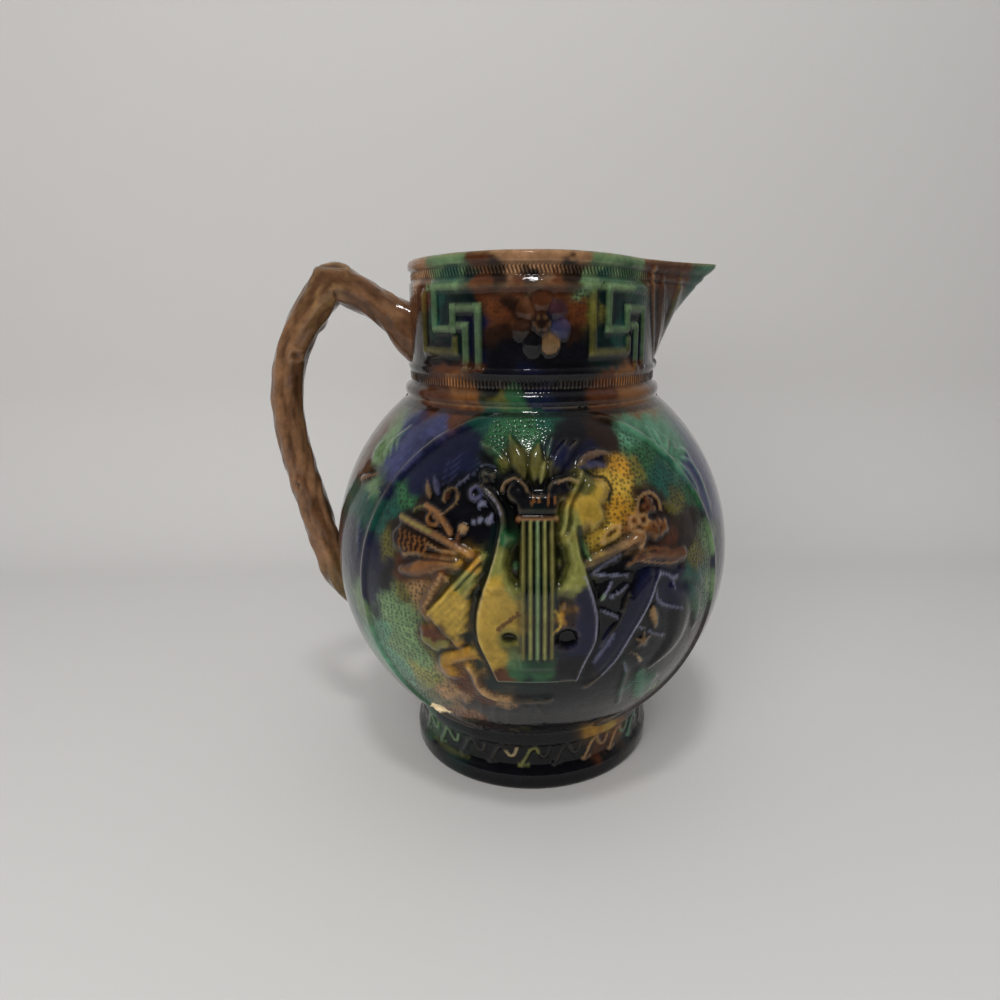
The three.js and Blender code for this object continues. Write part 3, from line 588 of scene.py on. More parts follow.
def draw_left(sheet):
    # pan pipes
    tilt = math.radians(48.6)
    c, s = math.cos(tilt), math.sin(tilt)
    place = lambda across, up: (-35.6 + across * s + up * c, -0.9 - across * c + up * s)
    sheet.paint_band([place(-1.2, 6), place(-1.2, 28)], 2.6, "black", 0.6)
    outline = [(-35.6, -0.9)]
    for i in range(8):
        length = 29.2 - 3.6 * i
        outline += [place(2.0 * i, length), place(2.0 * (i + 1) - 0.4, length - 1.4)]
    outline += [place(16.0, -1.0)]
    sheet.plate(outline, MIDDLE, 1.4)
    for i in range(1, 8):
        sheet.groove(
            [place(2.0 * i, 0.6), place(2.0 * i, 28 - 3.6 * i)], 0.9, 0.35, colour="olive", strength=0.35
        )
    sheet.groove([place(2.0, 15), place(2.0, 27)], 1.3, 1.3, colour="deep", strength=0.8)
    sheet.stroke([place(0.9, 1), place(0.9, 28.2)], 1.7, 0.35, base=MIDDLE - 0.2)
    sheet.stroke([place(3.0, 14), place(3.0, 25)], 1.5, 0.3, base=MIDDLE - 0.2)
    # beaded strip beside the pipes
    strip = [(-29.4, 13.9), (-32.6, 7.4), (-36.4, 0.4), (-34.6, -2.4)]
    sheet.stroke(strip, 4.2, 1.8, colour="brown", strength=0.85)
    line = smooth_line(strip[:3])
    for t in np.linspace(0.08, 0.94, 8):
        x, y = line[int(t * (len(line) - 1))]
        sheet.dome((x + 0.3 * math.sin(40 * t), y), 0.95, 0.4, base=1.7, colour="tan", strength=0.7)
    sheet.stroke([(-29.6, 14.4), (-27.6, 11.2)], 1.3, 1.4, colour="tan", strength=0.5)
    # pear-shaped lute under a rod
    sheet.stroke([(-23.6, 17.6), (-33, 16.6), (-40.5, 13.6), (-45.6, 12.6)], 9.6, 2.7, "pear")
    sheet.stroke(
        [(-23.8, 16.0), (-29.3, 15.8), (-34, 13.4)], 1.5, 0.9, base=0.8, colour="tan", strength=0.6
    )
    sheet.stroke(
        [(-45, 18.0), (-40.5, 19.0), (-33.5, 19.3), (-24.6, 19.0)], 1.5, 1.9, colour="tan", strength=0.55
    )
    sheet.paint_band([(-43, 17.4), (-34, 17.8), (-24, 18.2)], 1.0, "black", 0.8)
    # small harp: a rod, a fan of strings and its edge
    fan = [(-23, 20.8), (-34, 25.4), (-46, 29.8), (-51, 25), (-50, 19.6), (-45, 18.6), (-34, 20)]
    sheet.plate(fan, LOW - 0.2, 1.4)
    sheet.paint_band([(-47, 23), (-41, 22.6), (-35, 22)], 7.0, "bark", 0.6)
    for i in range(6):
        x = -46.6 + 2.1 * i
        top = 26.6 - 0.55 * i
        wavy = [(x, top), (x + 0.7, top - 2), (x - 0.1, top - 4), (x + 0.5, top - 5.8)]
        sheet.stroke(wavy, 1.15, 0.6, base=LOW - 0.3, colour="amber", strength=0.8)
    sheet.stroke(
        [(-24.6, 20.6), (-30.5, 21.2), (-34.8, 23.0)], 1.3, 0.6, base=LOW - 0.3, colour="tan",
        strength=0.6
    )
    sheet.stroke(
        [(-19.6, 20.4), (-29.1, 24.7), (-36.9, 27.6), (-46.8, 31.0)], 2.6, 2.6, colour="amber",
        strength=0.7
    )
    sheet.paint_band([(-34, 26.8), (-40, 28.9), (-46.6, 31.2)], 1.7, "lime", 0.55)
    # scrolled bracket over the rod
    sheet.stroke(
        [(-27.0, 27.0), (-29.4, 30.2), (-31.6, 33.0), (-36.6, 35.5)], 2.3, 2.2, colour="amber",
        strength=0.8
    )
    sheet.stroke(
        [(-36.6, 35.5), (-40.6, 34.6), (-42.6, 32.4)], 1.6, 1.6, "spine", colour="olive", strength=0.6
    )
    sheet.stroke(
        [(-34.6, 33.4), (-36.0, 31.2), (-34.4, 29.2), (-31.9, 29.6), (-31.8, 31.6), (-33.4, 31.8)], 1.4,
        1.7, colour="amber", strength=0.7
    )
    sheet.stroke([(-24.3, 23.4), (-24.3, 26.0), (-23.2, 28.0)], 1.4, 1.7, colour="brown", strength=0.8)
    sheet.dome((-22.7, 28.7), 1.8, 2.0, colour="tan", strength=0.85)
    # leaves and a ribbon on the dark ground
    outline = [
        (-30.4, 37.0), (-30.0, 40.1), (-27.3, 42.0), (-25.4, 40.4), (-25.2, 38.4), (-26.8, 35.8),
        (-30.6, 32.8)
    ]
    sheet.stroke(outline, 1.1, 0.9, colour="tan", strength=0.3)
    sheet.stroke(
        [(-29.6, 37.4), (-28.6, 40.2), (-27.6, 41.6)], 1.6, 0.7, "leaf", colour="brown", strength=0.5
    )
    sheet.stroke(
        [(-35.6, 38.0), (-36.8, 41), (-37.9, 44.8)], 2.4, 1.3, "leaf", vein=0.5, colour="tan",
        strength=0.35
    )
    sheet.stroke(
        [(-32.4, 39.0), (-33.6, 42.4), (-35.4, 46.4)], 2.6, 1.4, "leaf", vein=0.5, colour="violet",
        strength=0.5
    )
    ribbon = [(-12.6, 49.4), (-16.0, 50.0), (-18.3, 49.2), (-20.6, 47.1), (-23.3, 45.0), (-26.9, 41.8)]
    sheet.stroke(ribbon, 0.9, 0.7, colour="haze", strength=0.25)
    # slanted dotted rows
    for row in range(4):
        x, y = -31.4 + 0.5 * row, 43.2 + 2.5 * row
        for i in range(9 - row):
            sheet.dome((x + 1.6 * i, y + 0.98 * i), 0.8, 0.5, 0.8, colour="violet", strength=0.35)
    # round flower
    sheet.dome((-33.0, -9.4), 5.6, 1.6, 0.95)
    for i in range(6):
        angle = 0.5 + i * math.pi / 3
        petal = "brown" if 0 < math.sin(angle) + 0.4 else "lime"
        sheet.dome(
            (-33.0 + 3.5 * math.cos(angle), -9.4 + 3.3 * math.sin(angle)), 2.7, 0.9, base=1.0,
            colour=petal, strength=0.6
        )
    sheet.paint_band([(-31, -6), (-25.6, -8)], 3.0, "bark", 0.5)
    # curled cloth
    sheet.stroke([(-20.4, -13.4), (-25, -15.2), (-29.4, -18), (-30.6, -21.6), (-28.4, -24.2)], 6.4, 1.7)
    sheet.paint_band([(-21, -15.4), (-26.4, -17.4), (-29, -19)], 4.6, "ochre", 0.7)
    sheet.groove(
        [(-21.4, -10.6), (-25.6, -12.8), (-30.5, -15.0), (-32.6, -18.6), (-31.6, -23.6)], 1.6, 0.7,
        colour="deep", strength=0.85
    )
    sheet.stroke(
        [(-22.0, -12.2), (-26, -11.4), (-28.6, -12.4)], 1.8, 1.3, "spine", colour="tan", strength=0.4
    )
    # rolled ledge below the lyre
    roll = [
        (-21.4, -19.8), (-19.6, -23), (-18.6, -27.8), (-16.2, -31.9), (-11.6, -33.9), (-4, -34.2),
        (6, -33.6)
    ]
    sheet.stroke(roll, 3.0, 1.7)
    sheet.paint_band([(-24, -21), (-22.6, -27), (-19.4, -33.4), (-15, -37)], 5.4, "brown", 0.75)
    sheet.paint_band(roll[:5], 1.5, "tan", 0.6)
    sheet.paint_band(roll[4:], 1.1, "bark", 0.5)
    for x, slant in ((-13, -1.0), (-8.4, -0.4), (-2, -0.2), (2.4, 2.4)):
        sheet.stroke([(x, -37.6), (x + slant, -46), (x + 1.6 * slant, -55)], 2.2, 0.5, "spine")
    for points, width in (
        ([(-24.6, -30), (-30, -38), (-38, -47)], 3.4),
        ([(-22.5, -34), (-24.5, -43), (-27.6, -52)], 3.2),
        ([(-33.8, -29), (-39, -36), (-46, -43)], 3.0),
        ([(-17.6, -36), (-18.6, -44), (-20, -54)], 2.4),
    ):
        sheet.stroke(points, width, 0.8, "leaf", vein=0.2)


def draw_right(sheet):
    # fruit and rings
    for i in range(18):
        angle = i * 2.4
        r = 1.25 * math.sqrt(i)
        berry = (43.9 + r * math.cos(angle), 27.2 + 0.6 * r * math.sin(angle))
        sheet.dome(berry, 1.1, 0.7, base=1.3, colour="amber", strength=0.7)
    sheet.paint_band([(43.9, 27.2)], 9.0, "brown", 0.35)
    for i in range(8):
        angle = i * 2.4
        r = 1.1 * math.sqrt(i)
        sheet.dome(
            (41.4 + r * math.cos(angle), 35.4 + 0.9 * r * math.sin(angle)), 1.1, 0.7, base=1.0,
            colour="brown", strength=0.9
        )
    arch = [(36.1, 32.4), (37.5, 37.4), (40.5, 39.7), (43.5, 39.5), (45.8, 37.3), (46.8, 33.8)]
    sheet.stroke(arch, 1.3, 1.3, colour="tan", strength=0.6)
    for x in (34.9, 38.6):
        sheet.ring((x, 30.5), 1.7, 1.2, 1.5, colour="tan")
        sheet.dome((x, 30.5), 0.9, 0.7, colour="brown")
    sheet.stroke([(33.4, 30.4), (33.4, 28.2), (34.4, 26.2)], 1.2, 1.3, colour="tan", strength=0.6)
    sheet.stroke(
        [(47.5, 36), (53, 33.4), (58, 32.6)], 4.2, 1.0, "leaf", vein=0.3, colour="olive", strength=0.5
    )
    # horn with a bell
    sheet.stroke(
        [(17.8, 17.8), (22.5, 19.8), (27.5, 21.6), (31.6, 22.8)], 3.6, 2.5, colour="tan",
        strength=0.3
    )
    sheet.paint_band([(17.8, 18.0), (22.5, 19.6), (27.5, 21.2)], 1.4, "bark", 0.7)
    sheet.stroke(
        [(29.6, 22.0), (33.2, 23.6), (36.6, 25.0)], 5.4, 2.7, "horn", colour="amber", strength=0.75
    )
    sheet.stroke(
        [(34.8, 27.2), (37.6, 26.4), (38.4, 24.0), (37.0, 21.4)], 1.3, 0.7, base=1.9, colour="tan",
        strength=0.7
    )
    almond = [(22.8, 24.4), (24.2, 27.0), (27.0, 29.0), (29.6, 29.2)]
    sheet.stroke(almond, 1.4, 1.5, colour="tan", strength=0.65)
    sheet.stroke(
        [(22.8, 24.4), (25.6, 24.9), (28.4, 26.4), (29.6, 29.2)], 1.4, 1.5, colour="tan", strength=0.65
    )
    sheet.paint_band([(25.0, 26.4), (27.6, 27.8)], 1.6, "brown", 0.85)
    # hunting horn
    sheet.stroke(
        [(31.6, 16.2), (38, 17.8), (44, 17.8), (50, 17.0), (55.5, 16.6)], 6.0, 2.3, "horn",
        colour="brown", strength=0.7
    )
    sheet.stroke(
        [(31.5, 16.1), (35.4, 17.1), (41.2, 15.9), (47.6, 14.5), (53.0, 14.3)], 0.9, 0.5, base=0.9,
        colour="tan", strength=0.8
    )
    sheet.stroke(
        [(33.8, 17.6), (37.2, 19.9), (41.4, 20.4), (48.8, 19.5)], 0.9, 0.4, base=1.0, colour="amber",
        strength=0.6
    )
    # a broad sash with a light edge
    outer = [
        (44.5, 11.7), (42.6, 8.9), (41.2, 5.1), (39.1, 0.7), (36.6, -3.4), (34.2, -7.1), (31.2, -12.2),
        (28, -17.8), (23.8, -22.7), (18.6, -28.1)
    ]
    inner = [
        (40.7, 14.2), (37, 11.8), (32.4, 6.7), (30.8, 2.7), (29.7, -1.2), (28.2, -3.8), (24.8, -7.8),
        (22.6, -11.7), (20.6, -16.5), (18.9, -20.6)
    ]
    sheet.plate(outer + inner[::-1], 1.6, 2.2)
    sheet.paint_band([(38, 9), (34, 0), (29, -10), (24, -19)], 7.0, "navy", 0.8)
    sheet.stroke(outer, 2.0, 0.75, base=1.3)
    sheet.paint_band(outer[:9], 0.9, "haze", 0.8)
    sheet.stroke(inner[2:8], 1.3, 0.5, base=1.2)
    sheet.paint_band([(26.8, -7), (22.6, -14), (20.4, -18)], 1.2, "haze", 0.45)
    sheet.stroke(
        [(44.5, 11.7), (48.0, 10.4), (50.7, 8.8), (53.0, 8.6)], 1.1, 1.3, colour="haze", strength=0.6
    )
    sheet.stroke([(50.7, 8.4), (51.3, 5.8), (51.4, 2.8)], 1.2, 1.2, "spine", colour="haze", strength=0.5)
    sheet.stroke(
        [(43.4, 5.8), (44.0, 2.1), (46.9, -0.6), (51.9, -2.9), (56, -4.3)], 1.1, 1.1, colour="haze",
        strength=0.5
    )
    for points in (
        [(22.1, 2.0), (26.4, -0.2), (28.1, -1.3)],
        [(19.0, 14.4), (24.0, 17.4), (29.2, 19.6)],
        [(20.1, 14.1), (26.3, 13.3), (31.9, 12.8)],
        [(26.2, 11.1), (24.7, 8.5), (22.8, 5.7)],
        [(31.5, 9.3), (29.1, 7.2), (25.9, 6.3)],
        [(41.3, -9.7), (44.5, -11.8), (48.4, -13.6)],
        [(36.9, -6.9), (38.8, -8.1)],
    ):
        sheet.stroke(points, 1.2, 1.0, colour="haze", strength=0.45)
    sheet.stroke([(22.8, 5.5), (23.4, 6.6)], 1.6, 1.2, colour="sage", strength=0.5)
    sheet.stroke([(50, 6), (56, -4), (54, -18), (44, -27)], 12.0, 1.2, "leaf", vein=0.3)
    sheet.stroke([(58, 4), (65, -6), (66, -18)], 8.0, 1.0, "leaf", vein=0.3)
    sheet.stroke([(54, 11.4), (62, 8), (69, 1)], 6.4, 1.0, "leaf", vein=0.3)
    # small flowers
    sheet.stroke(
        [(41.6, 0.3), (42.3, -2.4), (43.1, -5.2), (43.9, -8.8)], 3.2, 2.2, "leaf", colour="tan",
        strength=0.6
    )
    sheet.paint_band([(43.2, -5.4)], 1.4, "brown", 0.7)
    for i in range(5):
        angle = 1.5 + i * 2 * math.pi / 5
        tip = (38.8 + 3.5 * math.cos(angle), -12.6 + 3.5 * math.sin(angle))
        sheet.stroke([(38.8, -12.6), tip], 1.8, 1.9, "spine", colour="tan", strength=0.45)
    sheet.dome((38.8, -12.6), 1.4, 2.2, colour="brown", strength=0.7)
    sheet.stroke(
        [(34.6, -17.0), (37.2, -18.8), (39.1, -22.0)], 1.5, 1.2, "horn", colour="buff", strength=0.8
    )
    # leaf and stem that run down to the foot
    leaf = [
        (39.9, -23.8), (42.1, -28.2), (49.4, -33.9), (49.9, -37.6), (46.2, -49.0), (40.3, -46.4),
        (38.4, -36), (37.8, -28.4)
    ]
    sheet.plate(leaf, 1.0, 2.4, "teal", 0.55, smooth=True)
    sheet.paint_band([(40.6, -29), (41.4, -36), (42.4, -44)], 4.6, "mint", 0.55)
    sheet.stroke(
        [(31.9, -19.7), (33.6, -24.4), (33.2, -29.6), (32.8, -36), (33.5, -45)], 1.7, 0.9,
        colour="teal", strength=0.5
    )
    sheet.paint_band([(32.2, -20.4), (33.6, -25.0)], 0.8, "haze", 0.7)


FIELD_CENTRE = 5.6
FIELD_RADIUS = 72.8


def draw_field_ring(sheet):
    """Raises the ring round the field, and returns where the stippled ground inside it lies."""
    distance = np.hypot(sheet.x - FIELD_CENTRE, sheet.y)
    q = np.clip(np.abs(distance - FIELD_RADIUS) / 1.7, 0, 1)
    sheet.height = np.maximum(sheet.height, 1.15 * (1 - q**2))
    return smoothstep(71.4, 70.2, distance)


def draw_shoulder(sheet):
    """Sprays outside the round field, on both of its sides."""
    for points in (
        [(47.8, 67.3), (50.0, 59.6), (53.4, 53.6)],
        [(51.4, 66.0), (53.2, 59.6), (54.6, 54.0)],
        [(58.6, 63.2), (56.0, 57.6), (54.6, 53.6)],
        [(62.9, 60.6), (59.4, 56.6), (57.4, 53.6)],
        [(58.1, 51.2), (62.6, 45.4), (66.0, 38.4)],
        [(60.4, 51.6), (66.6, 46), (71.4, 37)],
        [(60, 55.4), (67.4, 56.8), (72, 52)],
        [(62, 53.4), (70.4, 51.3), (76.2, 40.6), (79.2, 29)],
    ):
        sheet.stroke(points, 2.1, 1.0, "leaf", vein=0.2, colour="mint", strength=0.4)
    for points in (
        [(-61.4, 50.6), (-62.6, 57.4), (-56.8, 63.6)],
        [(-55.6, 55.6), (-56.8, 61.4), (-51.3, 67.6)],
        [(-58.6, 53), (-60, 60), (-54.2, 65.6)],
        [(-68.0, 35.4), (-64.6, 38.2), (-60.0, 38.9)],
        [(-68.6, 50.4), (-71, 56), (-67.6, 62)],
    ):
        sheet.stroke(points, 1.9, 1.1, "leaf", vein=0.2, colour="sage", strength=0.4)
    sheet.stroke(
        [(-76.6, 43.7), (-69.6, 45.3), (-62.4, 46.6)], 1.9, 1.2, "spine", colour="amber", strength=0.6
    )
    for i in range(9):
        x, y = -71.4 + 0.5 * math.sin(2.1 * i), 27 - 1.7 * i
        sheet.stroke([(x - 1.2, y - 0.7), (x + 1.2, y + 0.7)], 0.9, 0.5, colour="violet", strength=0.8)


def draw_back(sheet):
    draw_lyre(sheet, plain=True)
    for side in (0, 1):
        for points, width in (
            ([(-9.4, 29), (-11.6, 36), (-15.4, 41), (-19, 43)], 3.0),
            ([(-22, 12), (-31, 20), (-42, 22)], 6.0),
            ([(-24, 2), (-34, 4), (-44, 0)], 6.0),
            ([(-23, -10), (-32, -16), (-40, -26)], 6.0),
            ([(-19, -26), (-22, -38), (-30, -50)], 5.0),
            ([(-6, 46), (-10, 54), (-17, 60)], 5.0),
        ):
            line = mirrored(points) if side else points
            shape = "even" if width == 3.0 else "leaf"
            sheet.stroke(line, width, 2.0, shape, vein=0.5)
    sheet.stroke([(1.9, 45), (1.9, 54), (1.9, 62)], 5.0, 2.2, "leaf", vein=0.6)
    sheet.stroke([(-16, -32), (1.9, -37), (20, -32)], 3.0, 1.8)


# The neck, in millimetres round the wall from the front and in height


PANEL_TOP = 191.5
FRET_UNIT = (PANEL_TOP - PANEL_BOTTOM) / 10
FRET_BAR = 2.7
FRET_STARTS = (-37.2, 27.4)


def fret_level(units):
    return PANEL_BOTTOM + units * FRET_UNIT


def bar(sheet, corners, height, colour=None):
    """A bar of even width that turns square corners."""
    for (x0, y0), (x1, y1) in zip(corners[:-1], corners[1:]):
        left, right = sorted((x0, x1))
        low, high = sorted((y0, y1))
        half = FRET_BAR / 2
        box = [
            (left - half, low - half), (right + half, low - half), (right + half, high + half),
            (left - half, high + half)
        ]
        sheet.plate(box, height, 0.75, colour, 0.5)


def draw_fret(sheet, centre=0.0):
    ends = (FRET_STARTS[1] - 6.2 + FRET_BAR / 2, FRET_STARTS[1] + 20)
    for start, end in zip(FRET_STARTS, ends):
        place = lambda corners: [(centre + start + x, fret_level(level)) for x, level in corners]
        bar(sheet, place([(-6.2, 8.4), (-6.2, 1.8), (9.6, 1.8), (9.6, 3.2)]), FRET, "olive")
        hook = place([(0, 9.2), (0, 4.4), (8.8, 4.4), (8.8, 6.8), (18.8, 6.8), (18.8, 0.3)])
        bar(sheet, hook, FRET, "sage")
        bar(sheet, [(centre + end, fret_level(9.2)), hook[0]], FRET)
        bar(sheet, place([(14, 0.2), (14, 4.8), (11.6, 4.8)]), FRET, "sage")
        sheet.paint_band(place([(-4, 9.2), (4, 9.2), (11, 9.2)]), 3.0, "sage", 0.8)
        sheet.paint_band(place([(13, 0.2), (14, 0.2), (20, 0.2)]), 3.4, "brown", 0.8)


def draw_rosette(sheet):
    centre = (3.2, 176.6)
    colours = ("brown", "brown", "bark", "black", "tan", "violet", "navy")
    for i, colour in enumerate(colours):
        angle = math.pi / 2 + i * 2 * math.pi / 7
        x, y = centre[0] + 6.2 * math.cos(angle), centre[1] + 6.8 * math.sin(angle)
        sheet.dome((x, y), 3.9, 1.3, 1.05, colour=colour, strength=0.6)
    for i in range(7):
        angle = math.pi / 2 + (i + 0.5) * 2 * math.pi / 7
        start = (centre[0] + 3 * math.cos(angle), centre[1] + 3 * math.sin(angle))
        end = (centre[0] + 10 * math.cos(angle), centre[1] + 10.5 * math.sin(angle))
        sheet.groove([start, end], 1.2, 0.5)
    sheet.dome(centre, 3.8, 0.9, base=0.9, colour="bark", strength=0.8)
    for i in range(6):
        angle = i * math.pi / 3
        seed = (centre[0] + 2.2 * math.cos(angle), centre[1] + 2.2 * math.sin(angle))
        sheet.dome(seed, 1.0, 0.5, base=1.5, colour="amber", strength=0.2)


def draw_spout(sheet):
    """Leaves that rise from under the spout, on both of its sides."""
    tip = math.radians(-FRONT) * NECK_RADIUS
    for side in (-1, 1):
        at = lambda x, z: (tip + side * x, z)
        sheet.stroke(
            [at(1.5, 157), at(14, 168), at(20.5, 182), at(24, 197)], 2.0, 1.1, colour="wood",
            strength=0.3
        )
        sheet.stroke(
            [at(3, 160), at(9, 174), at(15.6, 186), at(18.4, 196)], 6.6, LOW, "leaf", vein=0.6,
            colour="brown", strength=0.5
        )
        sheet.stroke(
            [at(1, 162), at(3.4, 176), at(7, 187), at(10.4, 196)], 5.0, LOW, "leaf", vein=0.6,
            colour="olive", strength=0.5
        )
    sheet.stroke([(tip, 156), (tip, 165), (tip, 178)], 3.0, 1.0, "spine")


FOOT_SCROLL_COLOURS = {
    -4: ("sage", "sage"), -3: ("sage", "sage"), -1: (None, "buff"), 0: ("lime", None),
    2: ("tan", "tan"), 3: ("tan", "mint"), 4: ("mint", None),
}


def draw_foot_scroll(sheet):
    """A running scroll: a slanted stem that ends in a curl, repeated round the foot."""
    pitch = 2 * math.pi * FOOT_RADIUS / 24
    for i in range(-12, 12):
        x = 1.0 + pitch * i
        stem, curl = FOOT_SCROLL_COLOURS.get(i, (None, None))
        first = [(x - 5.6, 9.6), (x - 3.6, 12.6), (x - 1.6, 16.6), (x + 0.6, 17.6), (x + 1.6, 15.6)]
        second = [(x + 1.4, 15.8), (x + 3.2, 13.6), (x + 5.2, 14.2), (x + 6.2, 17.2)]
        sheet.stroke(first, 1.7, 1.1, colour=stem, strength=0.75)
        sheet.stroke(second, 1.7, 1.1, colour=curl, strength=0.75)
        sheet.stroke(
            [(x - 6.2, 9.9), (x - 4.6, 9.4), (x - 2.2, 10.2)], 1.5, 0.8, colour=stem, strength=0.5
        )
    sheet.paint_band([(-49, 8.4), (-38, 8.2), (-27, 8.4)], 1.1, "lime", 0.45)


# Glazes laid over the relief, with a few spots of painted shade: places on the front, on the back, round
# the neck and round the foot


FRONT_GLAZES_AND_SHADE = [
    (-12, 60, 6, "green"), (-3, 65, 6, "green"), (-19, 66, 5, "teal"), (-29, 69, 5, "brown"),
    (4, 68, 3, "teal"), (-25, 57, 7, "navy"), (-35, 51, 8, "navy"), (-43, 46, 6, "navy"),
    (-30, 42, 6, "black"), (-20, 38, 7, "black"), (-15, 30, 5, "black"), (-24, 31, 4, "black"),
    (-47, 60, 7, "violet"), (-53, 52, 6, "violet"), (-36, 66, 4, "violet"), (-67, 59, 6, "sage"),
    (-76, 63, 5, "brown"), (-80, 50, 6, "brown"), (-70, 47, 4, "bark"), (-66, 40, 4, "sage"),
    (-68, 34, 5, "teal"), (-57, 41, 3.5, "navy"), (-47, 38, 4, "green"), (-52, 33, 3.5, "teal"),
    (-60, 28, 4, "teal"), (-46, 25, 6, "bark"), (-37, 33, 4, "bark"), (-33, 26, 4, "bark"),
    (-52, 21, 4, "olive"), (-41, 21, 4, "bark"), (-62, 14, 6, "navy"), (-63, 1, 5, "navy"),
    (-54, 7, 4, "black"), (-60, -9, 3, "deep"), (-46, 13, 4, "brown"), (-38, 14, 4, "amber"),
    (-31, 17, 3, "amber"), (-37, 6, 4, "tan"), (-45, 3, 3.5, "olive"), (-28, 3, 5, "yellow"),
    (-24, -3, 3.5, "yellow"), (-33, -1, 3, "yellow"), (-21, 12, 3, "lime"), (-20, 18, 3, "ochre"),
    # the five deep spots from (-17.5, 6) to (2, -30), beside the lyre's left edge and below its foot, are
    # painted shade
    (-17.5, 6, 1.6, "deep"), (-14.5, 22, 1.6, "black"), (-21, -8, 1.8, "deep"), (-18.5, -18, 1.8, "deep"),
    (-13, -28.5, 2.4, "deep"), (2, -30, 2.6, "deep"), (-49, -6, 7, "sage"), (-47, -17, 8, "sage"),
    (-57, -16, 5, "mint"), (-52, -32, 7, "mint"), (-42, -31, 5, "lime"), (-35, -9, 4, "brown"),
    (-35, -16, 3.5, "olive"), (-27, -20, 3.5, "ochre"), (-23, -14, 2.6, "ochre"), (-31, -23, 2.6, "tan"),
    (-24, -28, 3.5, "brown"), (-21, -40, 3.5, "bark"), (-30, -38, 5, "tan"), (-26, -50, 5, "amber"),
    (-37, -43, 4, "olive"), (-17, -32, 2.2, "tan"), (-10, -36, 2.2, "tan"), (-9, 27, 2.6, "green"),
    (-12, 19, 3.5, "lime"), (-13, 8, 4, "yellow"), (-12, -2, 5, "yellow"), (-12, -13, 4, "yellow"),
    (-11, -21, 2.6, "brown"), (-4, -18, 3, "green"), (-6, -10, 2.6, "olive"), (-5, 10, 2.6, "lime"),
    (0, 22, 3, "olive"), (2, 8, 3, "deep"), (2, -6, 3, "bark"), (2, -17, 3.5, "green"),
    (0, -24, 3, "deep"), (13, 31, 2.6, "lime"), (14, 22, 3, "lime"), (15, 14, 3, "lime"),
    (17, 6, 2.6, "navy"), (17, -6, 5, "navy"), (13, -18, 4, "black"), (11, -6, 2.4, "black"),
    (9.5, 2, 1.6, "ochre"), (17, 43, 4, "olive"), (20, 35, 5, "yellow"), (24, 30, 4, "yellow"),
    (25, 42, 4, "yellow"), (31, 42, 4, "yellow"), (33, 50, 4, "ochre"), (21, 26, 3.5, "yellow"),
    (30, 35, 4, "ochre"), (2, 37, 4, "black"), (-5, 42, 4, "black"), (9, 43, 4, "black"),
    (-5, 53, 3.5, "olive"), (3, 51, 3, "olive"), (10, 54, 4, "navy"), (22, 55, 4, "navy"),
    (26, 62, 6, "bark"), (15, 62, 5, "black"), (-15, 52, 3, "black"), (39, 63, 5, "mint"),
    (43, 54, 6, "green"), (50, 47, 6, "teal"), (37, 49, 3, "olive"), (60, 54, 6, "mint"),
    (55, 61, 5, "mint"), (70, 47, 6, "violet"), (64, 37, 4, "green"), (43, 36, 5, "bark"),
    (46, 28, 5, "bark"), (36, 30, 3.5, "amber"), (35, 24, 3, "tan"), (55, 35, 4, "olive"),
    (61, 29, 5, "bark"), (50, 19, 5, "brown"), (58, 21, 4, "bark"), (64, 14, 4, "olive"),
    (26, 20, 2.4, "bark"), (29, 13, 6, "black"), (42, 11, 6, "navy"), (50, 6, 6, "navy"),
    (30, 0, 6, "black"), (40, -6, 6, "black"), (26, -12, 5, "navy"), (36, -20, 6, "black"),
    (52, -12, 6, "black"), (63, 4, 5, "teal"), (69, -6, 5, "green"), (64, -20, 6, "black"),
    (20, -30, 7, "black"), (5, -44, 8, "black"), (-11, -46, 6, "black"), (28, -46, 7, "black"),
    (57, -34, 7, "black"), (44.6, -36, 3.2, "green"), (47.6, -46, 4, "sage"), (34.6, -36, 1.6, "teal"),
    (75, 18, 4, "sage"), (77, -2, 4, "sage"), (72, -24, 5, "bark"), (-70, 10, 5, "navy"),
    (-71, -8, 5, "sage"), (-64, -30, 6, "mint"), (86, 10, 8, "navy"), (84, 40, 8, "violet"),
    (88, -20, 8, "black"), (-84, 12, 8, "navy"), (-86, -16, 8, "teal"), (-84, 36, 6, "teal"),
    (10, -62, 8, "black"), (-24, -62, 7, "bark"), (-50, -52, 7, "green"), (50, -58, 7, "bark"),
]
BACK_GLAZES = [
    (0, 0, 16, "olive"), (-16, 10, 8, "yellow"), (18, 6, 9, "navy"), (2, 40, 9, "black"),
    (-30, 44, 12, "navy"), (34, 44, 11, "green"), (-40, 16, 11, "brown"), (42, 18, 11, "bark"),
    (-46, -16, 14, "sage"), (44, -18, 14, "navy"), (-20, -44, 12, "amber"), (20, -46, 13, "black"),
    (0, 62, 9, "green"), (-66, 20, 9, "teal"), (68, 10, 9, "teal"), (-62, -30, 10, "green"),
    (62, -34, 10, "black"), (0, -62, 10, "black"),
]
